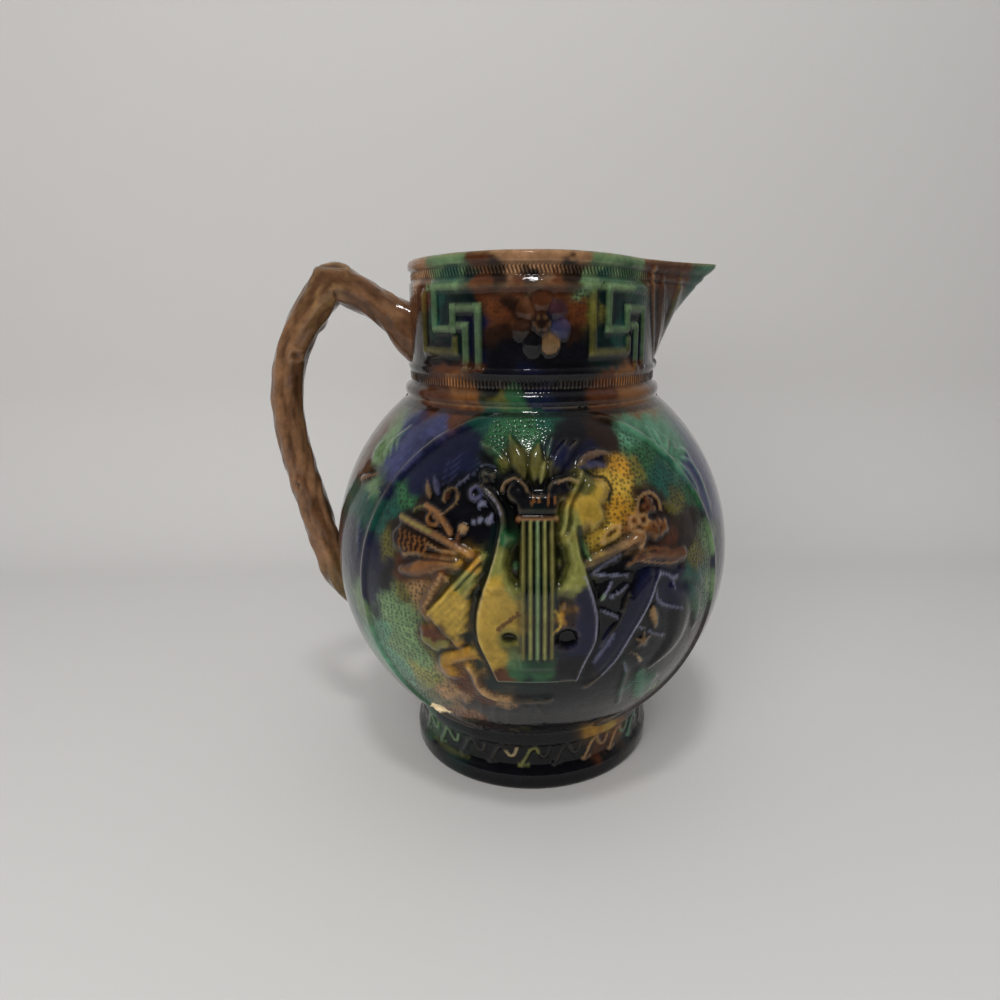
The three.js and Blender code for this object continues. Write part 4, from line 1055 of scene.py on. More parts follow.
NECK_GLAZES = [
    (-50, 198, 7, "wood"), (-30, 198, 7, "sage"), (-18, 198, 4, "brown"), (0, 198, 9, "wood"),
    (16, 198, 4, "wood"), (26, 198, 6, "sage"), (40, 198, 6, "sage"), (52, 197, 6, "brown"),
    (-30, 194, 5, "teal"), (-22, 193, 3, "deep"), (-12, 193, 4, "bark"), (0, 193, 5, "black"),
    (14, 193, 4, "bark"), (26, 193.5, 4, "teal"), (38, 193, 5, "green"), (-44, 186, 4, "brown"),
    (-46, 178, 4, "bark"), (-48, 168, 6, "black"), (-34, 186, 3, "teal"), (-30, 182, 4, "deep"),
    (-32, 174, 4, "deep"), (-26, 170, 4, "deep"), (-38, 178, 3, "teal"), (-33, 165, 4, "black"),
    (-22, 184, 3, "deep"), (-20, 176, 3, "navy"), (-20, 168, 3, "navy"), (-17, 189, 4, "brown"),
    (-4, 189.6, 4, "brown"), (8, 189.6, 4, "brown"), (19, 189, 3, "sage"), (-11, 181, 4, "brown"),
    (-11, 173, 3, "bark"), (-6, 184, 3, "bark"), (4, 184, 3, "bark"), (14, 181, 4, "brown"),
    (15, 173, 3, "bark"), (3, 176, 3, "black"), (-8, 167, 5, "black"), (4, 167, 5, "black"),
    (15, 167, 5, "black"), (0, 161, 3, "navy"), (-12, 160, 5, "black"), (12, 160, 5, "black"),
    (21, 180, 3, "olive"), (25, 184, 3, "deep"), (31, 182, 4, "deep"), (33, 174, 4, "teal"),
    (25, 172, 4, "deep"), (40, 176, 4, "deep"), (44, 184, 4, "teal"), (27, 165, 4, "deep"),
    (44, 168, 5, "navy"), (50, 176, 5, "black"), (-32, 160, 4, "brown"), (-28, 156, 3, "amber"),
    (-14, 156, 4, "black"), (0, 157, 4, "black"), (14, 156, 4, "black"), (28, 156, 3, "brown"),
    (36, 158, 4, "amber"), (-34, 151, 5, "brown"), (-22, 151, 4, "amber"), (-11, 151, 3, "olive"),
    (-5, 151, 3, "green"), (4, 151, 4, "navy"), (14, 151, 3, "black"), (25, 151, 5, "brown"),
    (38, 151, 5, "amber"), (60, 195, 6, "brown"), (60, 184, 5, "bark"), (66, 176, 6, "bark"),
    (66, 191, 5, "brown"), (76, 198, 7, "mint"), (76, 190, 6, "teal"), (76, 178, 6, "green"),
    (72, 164, 7, "black"), (88, 190, 7, "bark"), (100, 176, 8, "teal"), (-60, 180, 8, "brown"),
    (-66, 164, 7, "bark"), (-72, 192, 7, "brown"), (130, 190, 10, "brown"), (120, 168, 9, "navy"),
    (146, 178, 10, "sage"), (146, 160, 8, "bark"), (-110, 186, 10, "brown"), (-104, 166, 9, "green"),
    (-130, 172, 9, "bark"),
]
FOOT_GLAZES = [
    (0, 12, 10, "black"), (-16, 20, 8, "black"), (-16, 6, 8, "black"), (16, 10, 8, "black"),
    (8, 22, 7, "black"), (-34, 12, 7, "deep"), (-48, 16, 7, "green"), (-40, 22, 5, "deep"),
    (-44, 5, 6, "black"), (26, 22, 4, "ochre"), (34, 23, 4, "yellow"), (30, 13, 4, "brown"),
    (40, 17, 4, "amber"), (34, 5, 5, "black"), (50, 16, 6, "deep"), (60, 8, 8, "black"),
    (74, 18, 9, "bark"), (-66, 14, 9, "deep"), (-84, 10, 9, "black"), (100, 14, 12, "black"),
    (130, 14, 12, "deep"), (-112, 14, 12, "bark"), (-140, 14, 12, "black"), (158, 14, 12, "black"),
]


def glaze_and_shade_spots():
    """Every glaze spot, and the few spots of painted shade, as a place in space, a size and a colour."""
    spots = []
    for facing, table in ((FRONT, FRONT_GLAZES_AND_SHADE), (FRONT + 180, BACK_GLAZES)):
        for a, b, size, name in table:
            spots.append((field_place(a, b, facing), size, GLAZE[name]))
    for table, radius in ((NECK_GLAZES, NECK_RADIUS), (FOOT_GLAZES, 50.0)):
        for across, z, size, name in table:
            direction = across / radius + math.radians(FRONT)
            turn = math.atan2(math.sin(direction), math.cos(direction))
            reach = float(with_spout(radius, turn, z)) if z > 150 else radius
            spots.append(
                ((reach * math.cos(direction), reach * math.sin(direction), z), size, GLAZE[name])
            )
    return spots


def ripple(points, size, seed):
    """Soft noise between about -1 and 1, from waves in several directions."""
    random = np.random.default_rng(seed)
    total = np.zeros(len(points))
    for _ in range(7):
        direction = random.normal(size=3)
        direction /= np.linalg.norm(direction)
        wave = 2 * math.pi / (size * random.uniform(0.6, 1.6))
        total += np.sin(points @ direction * wave + random.uniform(0, 6.3))
    return total / 3


def glaze_and_shade_colours(points, spots, sharp=3.0):
    """Colour of the glaze at each point, with the painted shade of the few shade spots. Spots run into
    each other with uneven edges.
    """
    warp = np.stack([ripple(points, 9, k) + 0.5 * ripple(points, 3.2, k + 5) for k in (1, 2, 3)], -1)
    moved = (points + 1.3 * warp).astype(np.float32)
    places = np.array([s[0] for s in spots], np.float32)
    sizes = np.array([s[1] for s in spots], np.float32) ** 2
    colours = np.array([s[2] for s in spots], np.float32)
    result = np.zeros((len(points), 3), np.float32)
    for start in range(0, len(points), 20000):
        part = moved[start : start + 20000]
        d2 = ((part[:, None, :] - places[None]) ** 2).sum(-1)
        weight = (1 / (d2 / sizes + 0.05)) ** sharp
        weight /= weight.sum(1, keepdims=True)
        result[start : start + 20000] = weight @ colours
    return result


def pooled_glaze_and_painted_shade(colours, edge, pit):
    """Glaze runs off the edges, where the clay shines through, and pools dark in the hollows; the
    lightened edges are also painted highlight and the darkened hollows painted shade.
    """
    edge = smoothstep(0.1, 0.9, edge)[:, None] * 0.65
    pit = np.clip(pit, 0, 1)[:, None] * 0.85
    light = 0.2 * GLAZE["buff"] + 1.3 * colours
    colours = colours * (1 - edge) + light * edge
    return colours * (1 - pit) + colours**1.15 * 0.2 * pit


# The wall


def blurred(values, reach):
    """Mean over a square of lattice points. Columns go round, rows don't."""
    padded = np.pad(np.pad(values, ((reach, reach), (0, 0)), "edge"), ((0, 0), (reach, reach)), "wrap")
    total = padded.cumsum(0).cumsum(1)
    total = np.pad(total, ((1, 0), (1, 0)))
    n = 2 * reach + 1
    return (total[n:, n:] - total[:-n, n:] - total[n:, :-n] + total[:-n, :-n]) / n**2


def softened(values):
    values = 0.25 * np.roll(values, 1, 1) + 0.5 * values + 0.25 * np.roll(values, -1, 1)
    padded = np.pad(values, ((1, 1), (0, 0)), "edge")
    return 0.25 * padded[:-2] + 0.5 * values + 0.25 * padded[2:]


def lattice_cells(rows, outer, body, turns, height, colours):
    """Cells of the lattice as (low row, high row, first column, last column)."""
    columns = len(turns)
    first, last = outer
    fine = np.nonzero(np.abs(turns) <= COLUMN_STEPS[-2][0] + 1e-6)[0]
    c0, c1 = fine[0], fine[-1]
    cells = []
    top = first + 2 * ((last - first) // 2)
    h = height
    for r in range(first, top, 2):
        for c in range(c0, c1, 2):
            middle = 0.25 * (h[r, c] + h[r + 2, c] + h[r, c + 2] + h[r + 2, c + 2])
            flat = abs(h[r + 1, c + 1] - middle) < FLAT_ENOUGH
            flat = flat and abs(h[r + 1, c] - 0.5 * (h[r, c] + h[r + 2, c])) < FLAT_ENOUGH
            flat = flat and abs(h[r, c + 1] - 0.5 * (h[r, c] + h[r, c + 2])) < FLAT_ENOUGH
            if flat:
                mean = 0.25 * (
                    colours[r, c] + colours[r + 2, c] + colours[r, c + 2] + colours[r + 2, c + 2]
                )
                flat = np.abs(colours[r + 1, c + 1] - mean).max() < PLAIN_ENOUGH
            if flat:
                cells.append((r, r + 2, c, c + 2))
            else:
                cells += [(r + i, r + i + 1, c + j, c + j + 1) for i in (0, 1) for j in (0, 1)]
    for r in range(top, last):
        cells += [(r, r + 1, c, c + 1) for c in range(c0, c1)]
    coarse_rows = list(range(first, body[0], 2)) + list(range(body[0], body[1], COARSE_ROW_STEP))
    coarse_rows += list(range(body[1], last, 2)) + [last]
    back = list(range(c1, columns)) + list(range(0, c0 + 1))
    for r0, r1 in zip(coarse_rows[:-1], coarse_rows[1:]):
        cells += [(r0, r1, a, b) for a, b in zip(back[:-1], back[1:])]
    sparse = list(range(c0, c1, 4)) + list(range(c1, columns, 2))
    sparse += [columns + c for c in range(0, c0, 2)] + [columns + c0]
    for r0 in list(range(0, first)) + list(range(last, rows - 1)):
        cells += [(r0, r0 + 1, a % columns, b % columns) for a, b in zip(sparse[:-1], sparse[1:])]
    return cells, sparse[:-1]


def lattice_faces(cells, shape, sparse):
    """Faces of the cells, each with the corners of finer neighbours on its border."""
    rows, columns = shape
    used = np.zeros(shape, bool)
    for r0, r1, a, b in cells:
        used[r0, a] = used[r0, b] = used[r1, a] = used[r1, b] = True
    numbers = np.full(shape, -1)
    numbers[used] = np.arange(used.sum())
    faces = []
    for r0, r1, a, b in cells:
        span = (b - a) % columns
        if r1 - r0 == 1 and span == 1:
            faces.append((numbers[r0, a], numbers[r0, b], numbers[r1, b], numbers[r1, a]))
            continue
        border = [(r0, (a + k) % columns) for k in range(span)]
        border += [(r, b) for r in range(r0, r1)]
        border += [(r1, (b - k) % columns) for k in range(span)]
        border += [(r, a) for r in range(r1, r0, -1)]
        faces.append(tuple(numbers[p] for p in border if numbers[p] >= 0))
    ends = [c % columns for c in sparse]
    faces.append(tuple(numbers[0, c] for c in ends[::-1]))
    faces.append(tuple(numbers[rows - 1, c] for c in ends))
    return faces, used


CHIP_PLACE = (-38.4, -54.2)
CHIP_HALF_SIZES = (4.6, 4.6, 2.6)
POINT_VALUES = ("stipple", "ticks", "tick_place", "bare")


def wall_mesh():
    """Vertices, faces and point values of the vessel without its handle."""
    under = UNDER_POINTS[:-1]
    outer = divided(FOOT_POINTS, ROW_STEP) + body_points() + divided(NECK_POINTS, ROW_STEP)
    rows = under + outer + RIM_POINTS[1:] + inner_points()
    first, last = len(under), len(under) + len(outer) - 1
    radius = np.array([r for r, _ in rows])[:, None]
    level = np.array([z for _, z in rows])[:, None]
    turns = column_turns()
    direction = np.radians(turns + FRONT)[None, :]
    base = placed(radius, level, direction)

    # outward directions of the bare wall
    ahead = np.roll(base, -1, 1) - np.roll(base, 1, 1)
    up = np.gradient(base, axis=0)
    normal = np.cross(ahead, up)
    normal /= np.maximum(np.linalg.norm(normal, axis=-1, keepdims=True), 1e-9)

    height = np.zeros(base.shape[:2])
    tint = np.zeros(base.shape)
    tinted = np.zeros(base.shape[:2])
    stipple = np.zeros(base.shape[:2])
    ticks = np.zeros(base.shape[:2])
    tick_place = np.zeros(base.shape[:2])

    def take(rows_taken, sheet):
        height[rows_taken] = np.where(sheet.height != 0, sheet.height, height[rows_taken])
        better = sheet.tinted > tinted[rows_taken]
        tint[rows_taken][better] = sheet.tint[better]
        tinted[rows_taken][better] = sheet.tinted[better]

    foot_rows = slice(first, first + len(divided(FOOT_POINTS, ROW_STEP)))
    body_rows = slice(foot_rows.stop, foot_rows.stop + len(body_points()))
    neck_rows = slice(body_rows.stop, last + 1)

    front = Drawing(*field_chart(base[body_rows], FRONT))
    for draw in (draw_lyre, draw_lyre_scrolls, draw_crown, draw_left, draw_right, draw_shoulder):
        draw(front)
    stipple[body_rows] = draw_field_ring(front)
    take(body_rows, front)
    back = Drawing(*field_chart(base[body_rows], FRONT + 180))
    draw_back(back)
    stipple[body_rows] = np.maximum(stipple[body_rows], draw_field_ring(back))
    take(body_rows, back)

    round_neck = np.broadcast_to(np.radians(turns)[None, :] * NECK_RADIUS, height[neck_rows].shape)
    neck_level = np.broadcast_to(level[neck_rows], round_neck.shape)
    neck = Drawing(round_neck, neck_level)
    draw_fret(neck)
    draw_fret(neck, -math.pi * NECK_RADIUS)
    draw_fret(neck, math.pi * NECK_RADIUS)
    draw_rosette(neck)
    draw_spout(neck)
    take(neck_rows, neck)
    in_panel = band(STIPPLED_PANEL, neck_level)
    stipple[neck_rows] = in_panel * (np.abs(round_neck) < 56)
    groove = band(ROPE, neck_level)
    beads = band(BEADS, neck_level)
    # the rope stops at the spout, where its groove is filled
    past = band(SPOUT_STRETCH, round_neck)
    height[neck_rows] += 0.9 * groove * past
    ticks[neck_rows] = groove * (1 - past) + beads
    tick_place[neck_rows] = round_neck + 0.35 * (neck_level - 192) * groove

    round_foot = np.broadcast_to(np.radians(turns)[None, :] * FOOT_RADIUS, height[foot_rows].shape)
    foot = Drawing(round_foot, np.broadcast_to(level[foot_rows], round_foot.shape))
    draw_foot_scroll(foot)
    take(foot_rows, foot)

    # nothing stands up right under the collar
    height[body_rows] *= smoothstep(147.4, 145.0, level[body_rows])

    # the glaze softens every form
    for _ in range(2):
        height = softened(height)

    # strands and beads stand up where the columns are close enough to carry them
    carried = smoothstep(COLUMN_STEPS[-2][0], COLUMN_STEPS[-2][0] - 3, np.abs(turns))
    height += TICK_RELIEF * ticks * (0.5 + 0.5 * np.sin(tick_place * 2 * math.pi / TICK_LENGTH)) * carried

    # the chip at the foot's top edge
    chip = np.array(field_place(*CHIP_PLACE))
    gone = np.linalg.norm((base - chip) / np.array(CHIP_HALF_SIZES), axis=-1)
    ragged = gone + 0.2 * ripple(base.reshape(-1, 3), 2.4, 40).reshape(gone.shape)
    chipped = smoothstep(1.02, 0.94, ragged)
    height -= 1.0 * smoothstep(1.1, 0.5, ragged)
    stipple *= (1 - chipped) * smoothstep(0.7, 0.25, np.abs(height))

    points = base + normal * height[..., None]
    flat_points = base.reshape(-1, 3)
    colours = glaze_and_shade_colours(flat_points, glaze_and_shade_spots()).reshape(base.shape)
    share = (tinted * 0.92)[..., None]
    colours = colours * (1 - share) + tint * share
    # edges and hollows, from the height above the neighbourhood: edges lightened as thin glaze and painted
    # highlight, hollows darkened as pooled glaze and painted shade
    bare = radius + np.zeros_like(height)
    form = height.copy()
    for part in (foot_rows, neck_rows):
        form[part] += 0.8 * bare[part]
    step = np.abs(np.diff(form, axis=0, prepend=form[:1]))
    smooth = (step < 2.0) & (
        np.arange(len(rows))[:, None] >= first
    ) & (np.arange(len(rows))[:, None] <= last)
    edge = np.where(smooth, 3.2 * (form - blurred(form, 1)) + 0.5 * (form - blurred(form, 2)), 0)
    pit = np.where(smooth, 1.5 * (blurred(form, 2) - form) + 1.1 * (blurred(form, 5) - form), 0)
    pit[neck_rows] = np.minimum(pit[neck_rows], 0.6)
    colours = pooled_glaze_and_painted_shade(
        colours.reshape(-1, 3), edge.reshape(-1), pit.reshape(-1)
    ).reshape(base.shape)
    worn = smoothstep(199.0, 199.9, level) * (np.arange(len(rows))[:, None] < last + 4)
    worn = worn * (0.55 + 0.45 * ripple(flat_points, 7, 50).reshape(height.shape))
    colours = colours * (1 - worn[..., None]) + GLAZE["tan"] * worn[..., None]
    inside = np.arange(len(rows)) > last + 3
    colours[inside] = 0.55 * GLAZE["buff"] + 0.2 * GLAZE["ochre"]
    colours[:first] = GLAZE["buff"] * 0.6
    colours = colours * (1 - chipped[..., None]) + GLAZE["clay"] / GLAZE_DEPTH * chipped[..., None]
    bare_clay = chipped + worn * 0.6
    bare_clay[:first] = 0.8

    body = (body_rows.start, body_rows.stop - 1)
    cells, sparse = lattice_cells(len(rows), (first, last), body, turns, height, colours)
    faces, used = lattice_faces(cells, height.shape, sparse)
    values = {
        "glaze": colours[used],
        "stipple": stipple[used],
        "ticks": ticks[used],
        "tick_place": tick_place[used],
        "bare": np.clip(bare_clay, 0, 1)[used],
    }
    return points[used], faces, values


# The branch handle, as out from the axis, height and thickness


HANDLE_STATIONS = [
    (71, 58.4, 12), (81.8, 71.7, 12.8), (86.2, 84.0, 12.8), (90.4, 102, 12.9), (94.6, 120.2, 12.8),
    (97.3, 140, 12.8), (95.6, 158, 12.9), (90.3, 172, 13.3), (83.2, 182.6, 14.3), (76, 190.2, 15.1),
    (68.2, 187.4, 14.1), (60, 182.8, 13.3), (53, 178.2, 15.4), (47.8, 174.4, 21), (45.2, 173.2, 26),
    (43.4, 173.0, 28),
]
HANDLE_SIDES = 34
HANDLE_STEPS = 200
# each knot: share of the handle's length, direction round it and size
HANDLE_KNOTS = [
    (0.17, 1.2, 3.4), (0.33, 4.4, 3.0), (0.47, 2.2, 3.2), (0.62, 5.2, 3.4), (0.70, 0.9, 4.2),
    (0.80, 3.6, 3.6)
]


def handle_mesh():
    sides, steps = HANDLE_SIDES, HANDLE_STEPS
    stations = np.array(HANDLE_STATIONS, float)
    path = smooth_line(stations[:, :2], steps)
    thick = smooth_line(np.column_stack([stations[:, 2], stations[:, 2]]), steps)[:, 0]
    tangent = np.gradient(path, axis=0)
    tangent /= np.linalg.norm(tangent, axis=1, keepdims=True)
    length = np.concatenate([[0], np.cumsum(np.hypot(*np.diff(path, axis=0).T))])
    t = (length / length[-1])[:, None]
    angle = np.linspace(0, 2 * math.pi, sides, endpoint=False)[None, :]
    # bark: ridges that wander along the branch, swellings and knots
    wander = angle + 0.5 * np.sin(9 * t) + 0.35 * np.sin(23 * t + 1)
    bark = 0.34 * np.sin(7 * wander + 2 * np.sin(31 * t)) + 0.2 * np.sin(13 * wander - 40 * t)
    bark += 0.28 * np.sin(95 * t + 3 * np.sin(2 * angle + 1)) * (0.5 + 0.5 * np.sin(angle * 3 + 20 * t))
    fade = smoothstep(0, 0.1, t) * smoothstep(1, 0.93, t)
    relief = 0.75 * bark * fade
    for where, round_at, size in HANDLE_KNOTS:
        across = GRIP_RADIUS * np.abs(np.angle(np.exp(1j * (angle - round_at))))
        d = np.hypot((t - where) * length[-1], across) / size
        relief += 0.9 * np.exp(-((d - 0.75) ** 2) / 0.06) - 0.8 * np.exp(-(d**2) / 0.12)
    half = 0.5 * thick[:, None] - 0.35
    sideways_half = 0.5 * half + 3.2
    inward = (half + relief) * np.cos(angle)
    sideways = (sideways_half + relief) * np.sin(angle)
    x = -(path[:, :1]) + tangent[:, 1:] * inward
    z = path[:, 1:] + tangent[:, :1] * inward
    points = np.stack([x, sideways, z], -1)
    lengthwise = 0.3 * length[-1] * t + 0 * angle
    around = np.stack(
        [lengthwise, GRIP_RADIUS * np.cos(angle) + 0 * t, GRIP_RADIUS * np.sin(angle) + 0 * t], -1
    )
    random = ripple(around.reshape(-1, 3), 10, 70).reshape(x.shape)
    fine = ripple(around.reshape(-1, 3), 3.0, 75).reshape(x.shape)
    amber = GLAZE["brown"] * 0.3 + GLAZE["wood"] * 0.7
    colour = amber[None, None] * np.ones(x.shape + (1,))
    dark = smoothstep(0.1, 0.9, random + 0.5 * fine + 0.9 * smoothstep(0.62, 0.8, t))[..., None]
    colour = colour * (1 - 0.6 * dark) + GLAZE["brown"] * 0.6 * 0.6 * dark
    scroll = (band((0.64, 0.7, 0.8, 0.86), t) * smoothstep(-0.5, 0.6, fine))[..., None]
    colour = colour * (1 - 0.7 * scroll) + GLAZE["tan"] * 0.7 * scroll
    olive = smoothstep(0.2, 0.04, t)[..., None]
    colour = colour * (1 - 0.7 * olive) + (0.6 * GLAZE["olive"] + 0.3 * GLAZE["bark"]) * 0.7 * olive
    # the bark's raised parts lightened and its hollows darkened: thin and pooled glaze, and painted
    # highlight and painted shade
    shade = relief.reshape(-1)
    colour = pooled_glaze_and_painted_shade(colour.reshape(-1, 3), 0.8 * shade, -0.9 * shade).reshape(colour.shape)
    faces = []
    for i in range(steps):
        for j in range(sides):
            k = (j + 1) % sides
            faces.append((i * sides + j, (i + 1) * sides + j, (i + 1) * sides + k, i * sides + k))
    faces.append(tuple(range(sides)))
    faces.append(tuple(steps * sides + j for j in range(sides - 1, -1, -1)))
    count = points.shape[0] * points.shape[1]
    values = {"glaze": colour.reshape(-1, 3)}
    for name in POINT_VALUES:
        values[name] = np.zeros(count)
    return points.reshape(-1, 3), faces, values


def build_pitcher():
    points, faces, values = wall_mesh()
    more, more_faces, more_values = handle_mesh()
    offset = len(points)
    points = np.vstack([points, more])
    faces = [tuple(int(v) for v in f) for f in faces] + [
        tuple(int(v) + offset for v in f) for f in more_faces
    ]
    placed_points = (points + np.array([AXIS[0], AXIS[1], 0])) / 1000
    mesh = bpy.data.meshes.new("pitcher_glazed")
    mesh.from_pydata(placed_points.tolist(), [], faces)
    mesh.polygons.foreach_set("use_smooth", np.ones(len(mesh.polygons), bool))
    for name in POINT_VALUES:
        attribute = mesh.attributes.new(name, "FLOAT", "POINT")
        attribute.data.foreach_set(
            "value", np.concatenate([values[name], more_values[name]]).astype(np.float32)
        )
    colour = mesh.color_attributes.new("glaze", "FLOAT_COLOR", "POINT")
    rgb = np.vstack([values["glaze"], more_values["glaze"]])
    rgba = np.column_stack([np.clip(rgb, 0, 1), np.ones(len(rgb))]).astype(np.float32)
    colour.data.foreach_set("color", rgba.ravel())
    mesh.update()
    pitcher = bpy.data.objects.new("pitcher_glazed", mesh)
    bpy.context.scene.collection.objects.link(pitcher)
    return pitcher


# Material


class Shader:
    """Short ways to add and join the nodes of one material."""

    def __init__(self, name):
        self.material = bpy.data.materials.new(name)
        self.material.use_nodes = True
        self.nodes = self.material.node_tree.nodes
        self.links = self.material.node_tree.links
        self.nodes.clear()

    def add(self, kind, inputs=None, **settings):
        node = self.nodes.new(kind)
        for key, value in settings.items():
            setattr(node, key, value)
        for key, value in (inputs or {}).items():
            if isinstance(value, bpy.types.NodeSocket):
                self.links.new(value, node.inputs[key])
            else:
                node.inputs[key].default_value = value
        return node

    def math(self, operation, *values):
        node = self.add("ShaderNodeMath", dict(enumerate(values)), operation=operation)
        return node.outputs[0]

    def attribute(self, name, output="Fac"):
        return self.add("ShaderNodeAttribute", attribute_name=name).outputs[output]

    def noise(self, vector, scale, detail=2.0, roughness=0.5):
        inputs = {"Vector": vector, "Scale": scale, "Detail": detail, "Roughness": roughness}
        return self.add("ShaderNodeTexNoise", inputs).outputs["Fac"]

    def spread(self, value, low, high, to_low, to_high):
        inputs = {"Value": value, "From Min": low, "From Max": high, "To Min": to_low, "To Max": to_high}
        return self.add("ShaderNodeMapRange", inputs).outputs["Result"]

    def bump(self, height, strength):
        inputs = {"Strength": strength, "Distance": 0.001, "Height": height}
        return self.add("ShaderNodeBump", inputs).outputs["Normal"]

    def step(self, value, low, high):
        inputs = {"Value": value, "From Min": low, "From Max": high, "To Min": 0.0, "To Max": 1.0}
        return self.add("ShaderNodeMapRange", inputs, interpolation_type="SMOOTHSTEP").outputs["Result"]

    def mix(self, factor, a, b, blend="MIX"):
        node = self.add("ShaderNodeMix", data_type="RGBA", blend_type=blend)
        for index, value in ((0, factor), (6, a), (7, b)):
            if isinstance(value, bpy.types.NodeSocket):
                self.links.new(value, node.inputs[index])
            elif index == 0:
                node.inputs[index].default_value = value
            else:
                node.inputs[index].default_value = (*value[:3], 1)
        return node.outputs[2]

    def surface(self, inputs):
        surface = self.add("ShaderNodeBsdfPrincipled", inputs)
        self.add("ShaderNodeOutputMaterial", {"Surface": surface.outputs["BSDF"]})
        return self.material


# cells of the stipple in a metre
STIPPLE_SCALE = 740.0


def glaze_material():
    s = Shader("majolica_glaze")
    place = s.add("ShaderNodeTexCoord").outputs["Object"]
    colour = s.attribute("glaze", "Color")
    brightness = s.add("ShaderNodeRGBToBW", {"Color": colour}).outputs["Val"]
    stipple = s.math("MULTIPLY", s.attribute("stipple"), s.step(brightness, 0.004, 0.05))
    ticks = s.attribute("ticks")
    bare = s.attribute("bare")

    # glaze of uneven depth, with flecks
    broad = s.noise(place, 90.0, 3.0, 0.6)
    fine = s.noise(place, 420.0, 3.0, 0.6)
    depth = s.spread(broad, 0.3, 0.7, 0.72, 1.3)
    depth_fine = s.spread(fine, 0.3, 0.7, 0.8, 1.2)
    level = s.math("MULTIPLY", depth, depth_fine)
    grey = s.add("ShaderNodeCombineColor", {"Red": level, "Green": level, "Blue": level})
    colour = s.mix(1.0, colour, grey.outputs["Color"], "MULTIPLY")

    # pitted ground between the forms: a light net round dark pits
    inputs = {"Vector": place, "Scale": STIPPLE_SCALE, "Randomness": 0.55}
    cells = s.add("ShaderNodeTexVoronoi", inputs, feature="F1")
    net = s.step(cells.outputs["Distance"], 0.2, 0.62)
    pits = s.math("MULTIPLY", stipple, s.math("SUBTRACT", 1.0, net))
    light = s.math("MULTIPLY", stipple, net)
    colour = s.mix(s.math("MULTIPLY", pits, 0.5), colour, (0.004, 0.006, 0.006))
    colour = s.mix(light, colour, s.mix(1.0, colour, (1.3, 1.27, 1.2), "MULTIPLY"))

    # rope and bead mouldings on the neck
    wave = s.math("SINE", s.math("MULTIPLY", s.attribute("tick_place"), 2 * math.pi / TICK_LENGTH))
    dark_tick = s.math("MULTIPLY", ticks, s.step(wave, 0.2, -0.8))
    colour = s.mix(s.math("MULTIPLY", dark_tick, 0.45), colour, (0.004, 0.003, 0.003))
    lighter = s.mix(1.0, colour, (1.5, 1.45, 1.4), "MULTIPLY")
    colour = s.mix(s.math("MULTIPLY", ticks, s.step(wave, 0.3, 1.0)), colour, lighter)

    # surface: pits, ticks, and a slow waviness under the gloss
    relief = s.math("MULTIPLY", s.math("MULTIPLY", stipple, net), 0.3)
    relief = s.math("ADD", relief, s.math("MULTIPLY", s.math("MULTIPLY", ticks, wave), 0.12))
    relief = s.math("ADD", relief, s.math("MULTIPLY", broad, 0.5))
    relief = s.math("ADD", relief, s.math("MULTIPLY", fine, 0.16))
    relief = s.math("ADD", relief, s.math("MULTIPLY", s.math("MULTIPLY", bare, fine), 1.2))
    glaze = {
        "Base Color": colour,
        "Normal": s.bump(relief, 0.8),
        "Coat Normal": s.bump(s.math("ADD", s.noise(place, 60.0), relief), 0.35),
        "Roughness": s.spread(bare, 0.0, 1.0, 0.3, 0.6),
        "IOR": 1.5,
        "Coat Weight": s.math("SUBTRACT", 1.0, bare),
        "Coat Roughness": 0.04,
        "Coat IOR": 1.34,
        "Specular IOR Level": 0.05,
    }
    return s.surface(glaze)


def stage_material():
    s = Shader("studio_paper")
    return s.surface({"Base Color": (0.62, 0.61, 0.6, 1), "Roughness": 0.75})


# Stage, lights and camera


def sweep(name, start, bend, radius, top, half_width):
    """A floor that curves up into a wall behind the pitcher."""
    section = [(start, 0.0), (bend, 0.0)]
    for i in range(1, 17):
        angle = math.pi / 2 * i / 16
        section.append((bend + radius * math.sin(angle), radius * (1 - math.cos(angle))))
    section.append((bend + radius, top))
    vertices = [(x, y, z) for x in (-half_width, half_width) for y, z in section]
    n = len(section)
    faces = [(i, n + i, n + i + 1, i + 1) for i in range(n - 1)]
    mesh = bpy.data.meshes.new(name)
    mesh.from_pydata(vertices, [], faces)
    mesh.polygons.foreach_set("use_smooth", [True] * len(faces))
    mesh.materials.append(stage_material())
    thing = bpy.data.objects.new(name, mesh)
    bpy.context.scene.collection.objects.link(thing)
    return thing


def area_light(name, place, target, size, power, colour=(1, 1, 1), shiny=True):
    light = bpy.data.lights.new(name, "AREA")
    light.shape = "RECTANGLE"
    light.size, light.size_y = size
    light.energy = power
    light.color = colour
    lamp = bpy.data.objects.new(name, light)
    lamp.location = place
    lamp.rotation_euler = (Vector(target) - Vector(place)).to_track_quat("-Z", "Y").to_euler()
    lamp.visible_glossy = shiny
    bpy.context.scene.collection.objects.link(lamp)


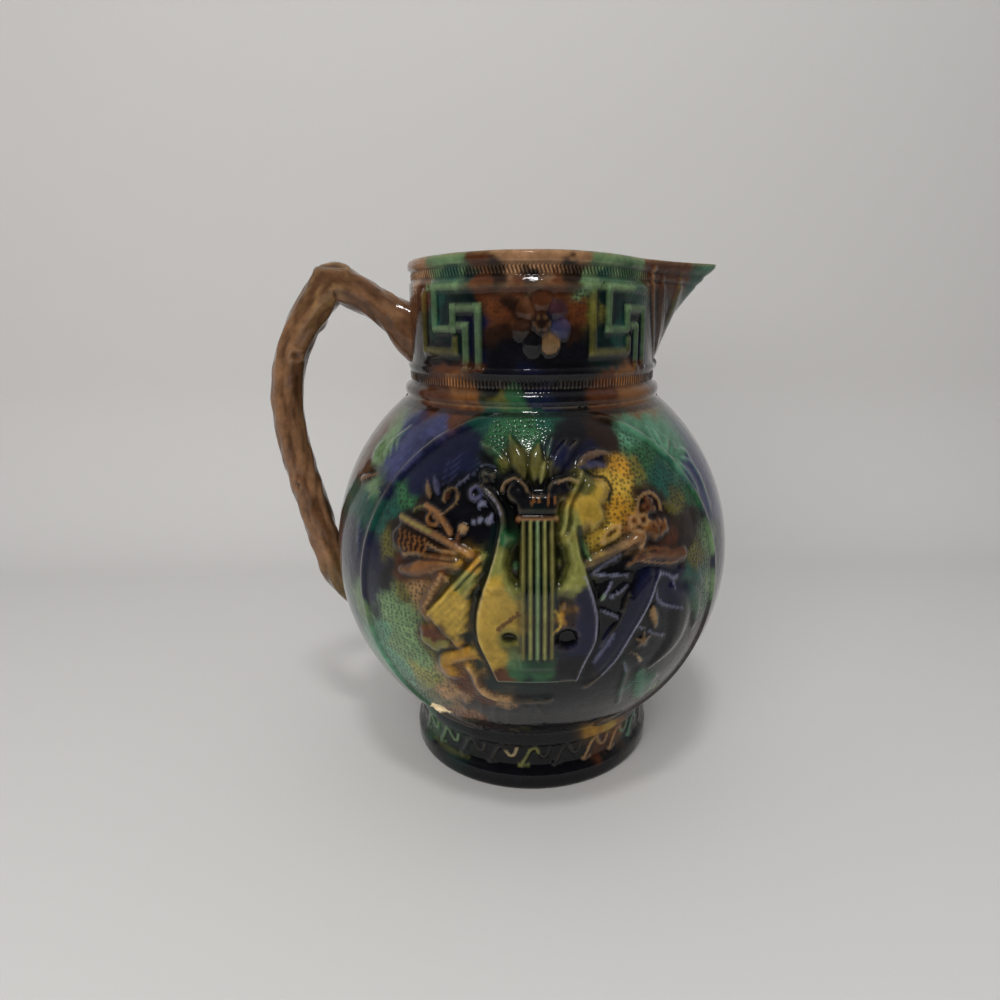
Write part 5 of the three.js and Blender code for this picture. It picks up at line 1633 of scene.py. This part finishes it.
def room_light():
    world = bpy.data.worlds.new("room")
    world.use_nodes = True
    nodes, links = world.node_tree.nodes, world.node_tree.links
    nodes.clear()
    place = nodes.new("ShaderNodeTexCoord")
    split = nodes.new("ShaderNodeSeparateXYZ")
    ramp = nodes.new("ShaderNodeMapRange")
    # the room is dim towards -Y, on the camera's side, and light towards +Y
    limits = {"From Min": -0.55, "From Max": 0.35, "To Min": 0.05, "To Max": 0.52}
    for name, value in limits.items():
        ramp.inputs[name].default_value = value
    background = nodes.new("ShaderNodeBackground")
    background.inputs["Color"].default_value = (0.97, 0.98, 1.0, 1)
    output = nodes.new("ShaderNodeOutputWorld")
    links.new(place.outputs["Generated"], split.inputs["Vector"])
    links.new(split.outputs["Y"], ramp.inputs["Value"])
    links.new(ramp.outputs["Result"], background.inputs["Strength"])
    links.new(background.outputs["Background"], output.inputs["Surface"])
    bpy.context.scene.world = world


CAMERA_DISTANCE = 0.2873
CAMERA_HEIGHT = 0.1832
CAMERA_PITCH = 15.52


def add_camera():
    data = bpy.data.cameras.new("camera")
    data.sensor_width = 36.0
    data.lens = 25.56
    data.shift_x = -0.0318
    data.clip_start = 0.01
    camera = bpy.data.objects.new("camera", data)
    turn = math.radians(FRONT)
    camera.location = (
        AXIS[0] / 1000 + CAMERA_DISTANCE * math.cos(turn),
        AXIS[1] / 1000 + CAMERA_DISTANCE * math.sin(turn),
        CAMERA_HEIGHT,
    )
    camera.rotation_euler = (math.radians(90 - CAMERA_PITCH), 0, math.radians(FRONT + 90))
    bpy.context.scene.collection.objects.link(camera)
    bpy.context.scene.camera = camera


pitcher = build_pitcher()
pitcher.data.materials.append(glaze_material())
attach(pitcher, "root")
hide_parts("pitcher")

bpy.context.scene.view_settings.view_transform = "Standard"
sweep("paper", start=-0.62, bend=0.19, radius=0.125, top=1.2, half_width=1.6)
room_light()
middle = (AXIS[0] / 1000, 0, 0.1)
area_light("window", (-0.22, -0.9, 0.55), middle, (1.0, 0.7), 9.2, (1, 0.985, 0.96), shiny=False)
area_light("ceiling", (-0.02, -0.42, 1.15), middle, (0.16, 0.1), 2.8)
area_light("room", (0.05, -0.3, 1.2), middle, (1.1, 0.9), 1.7, shiny=False)
add_camera()
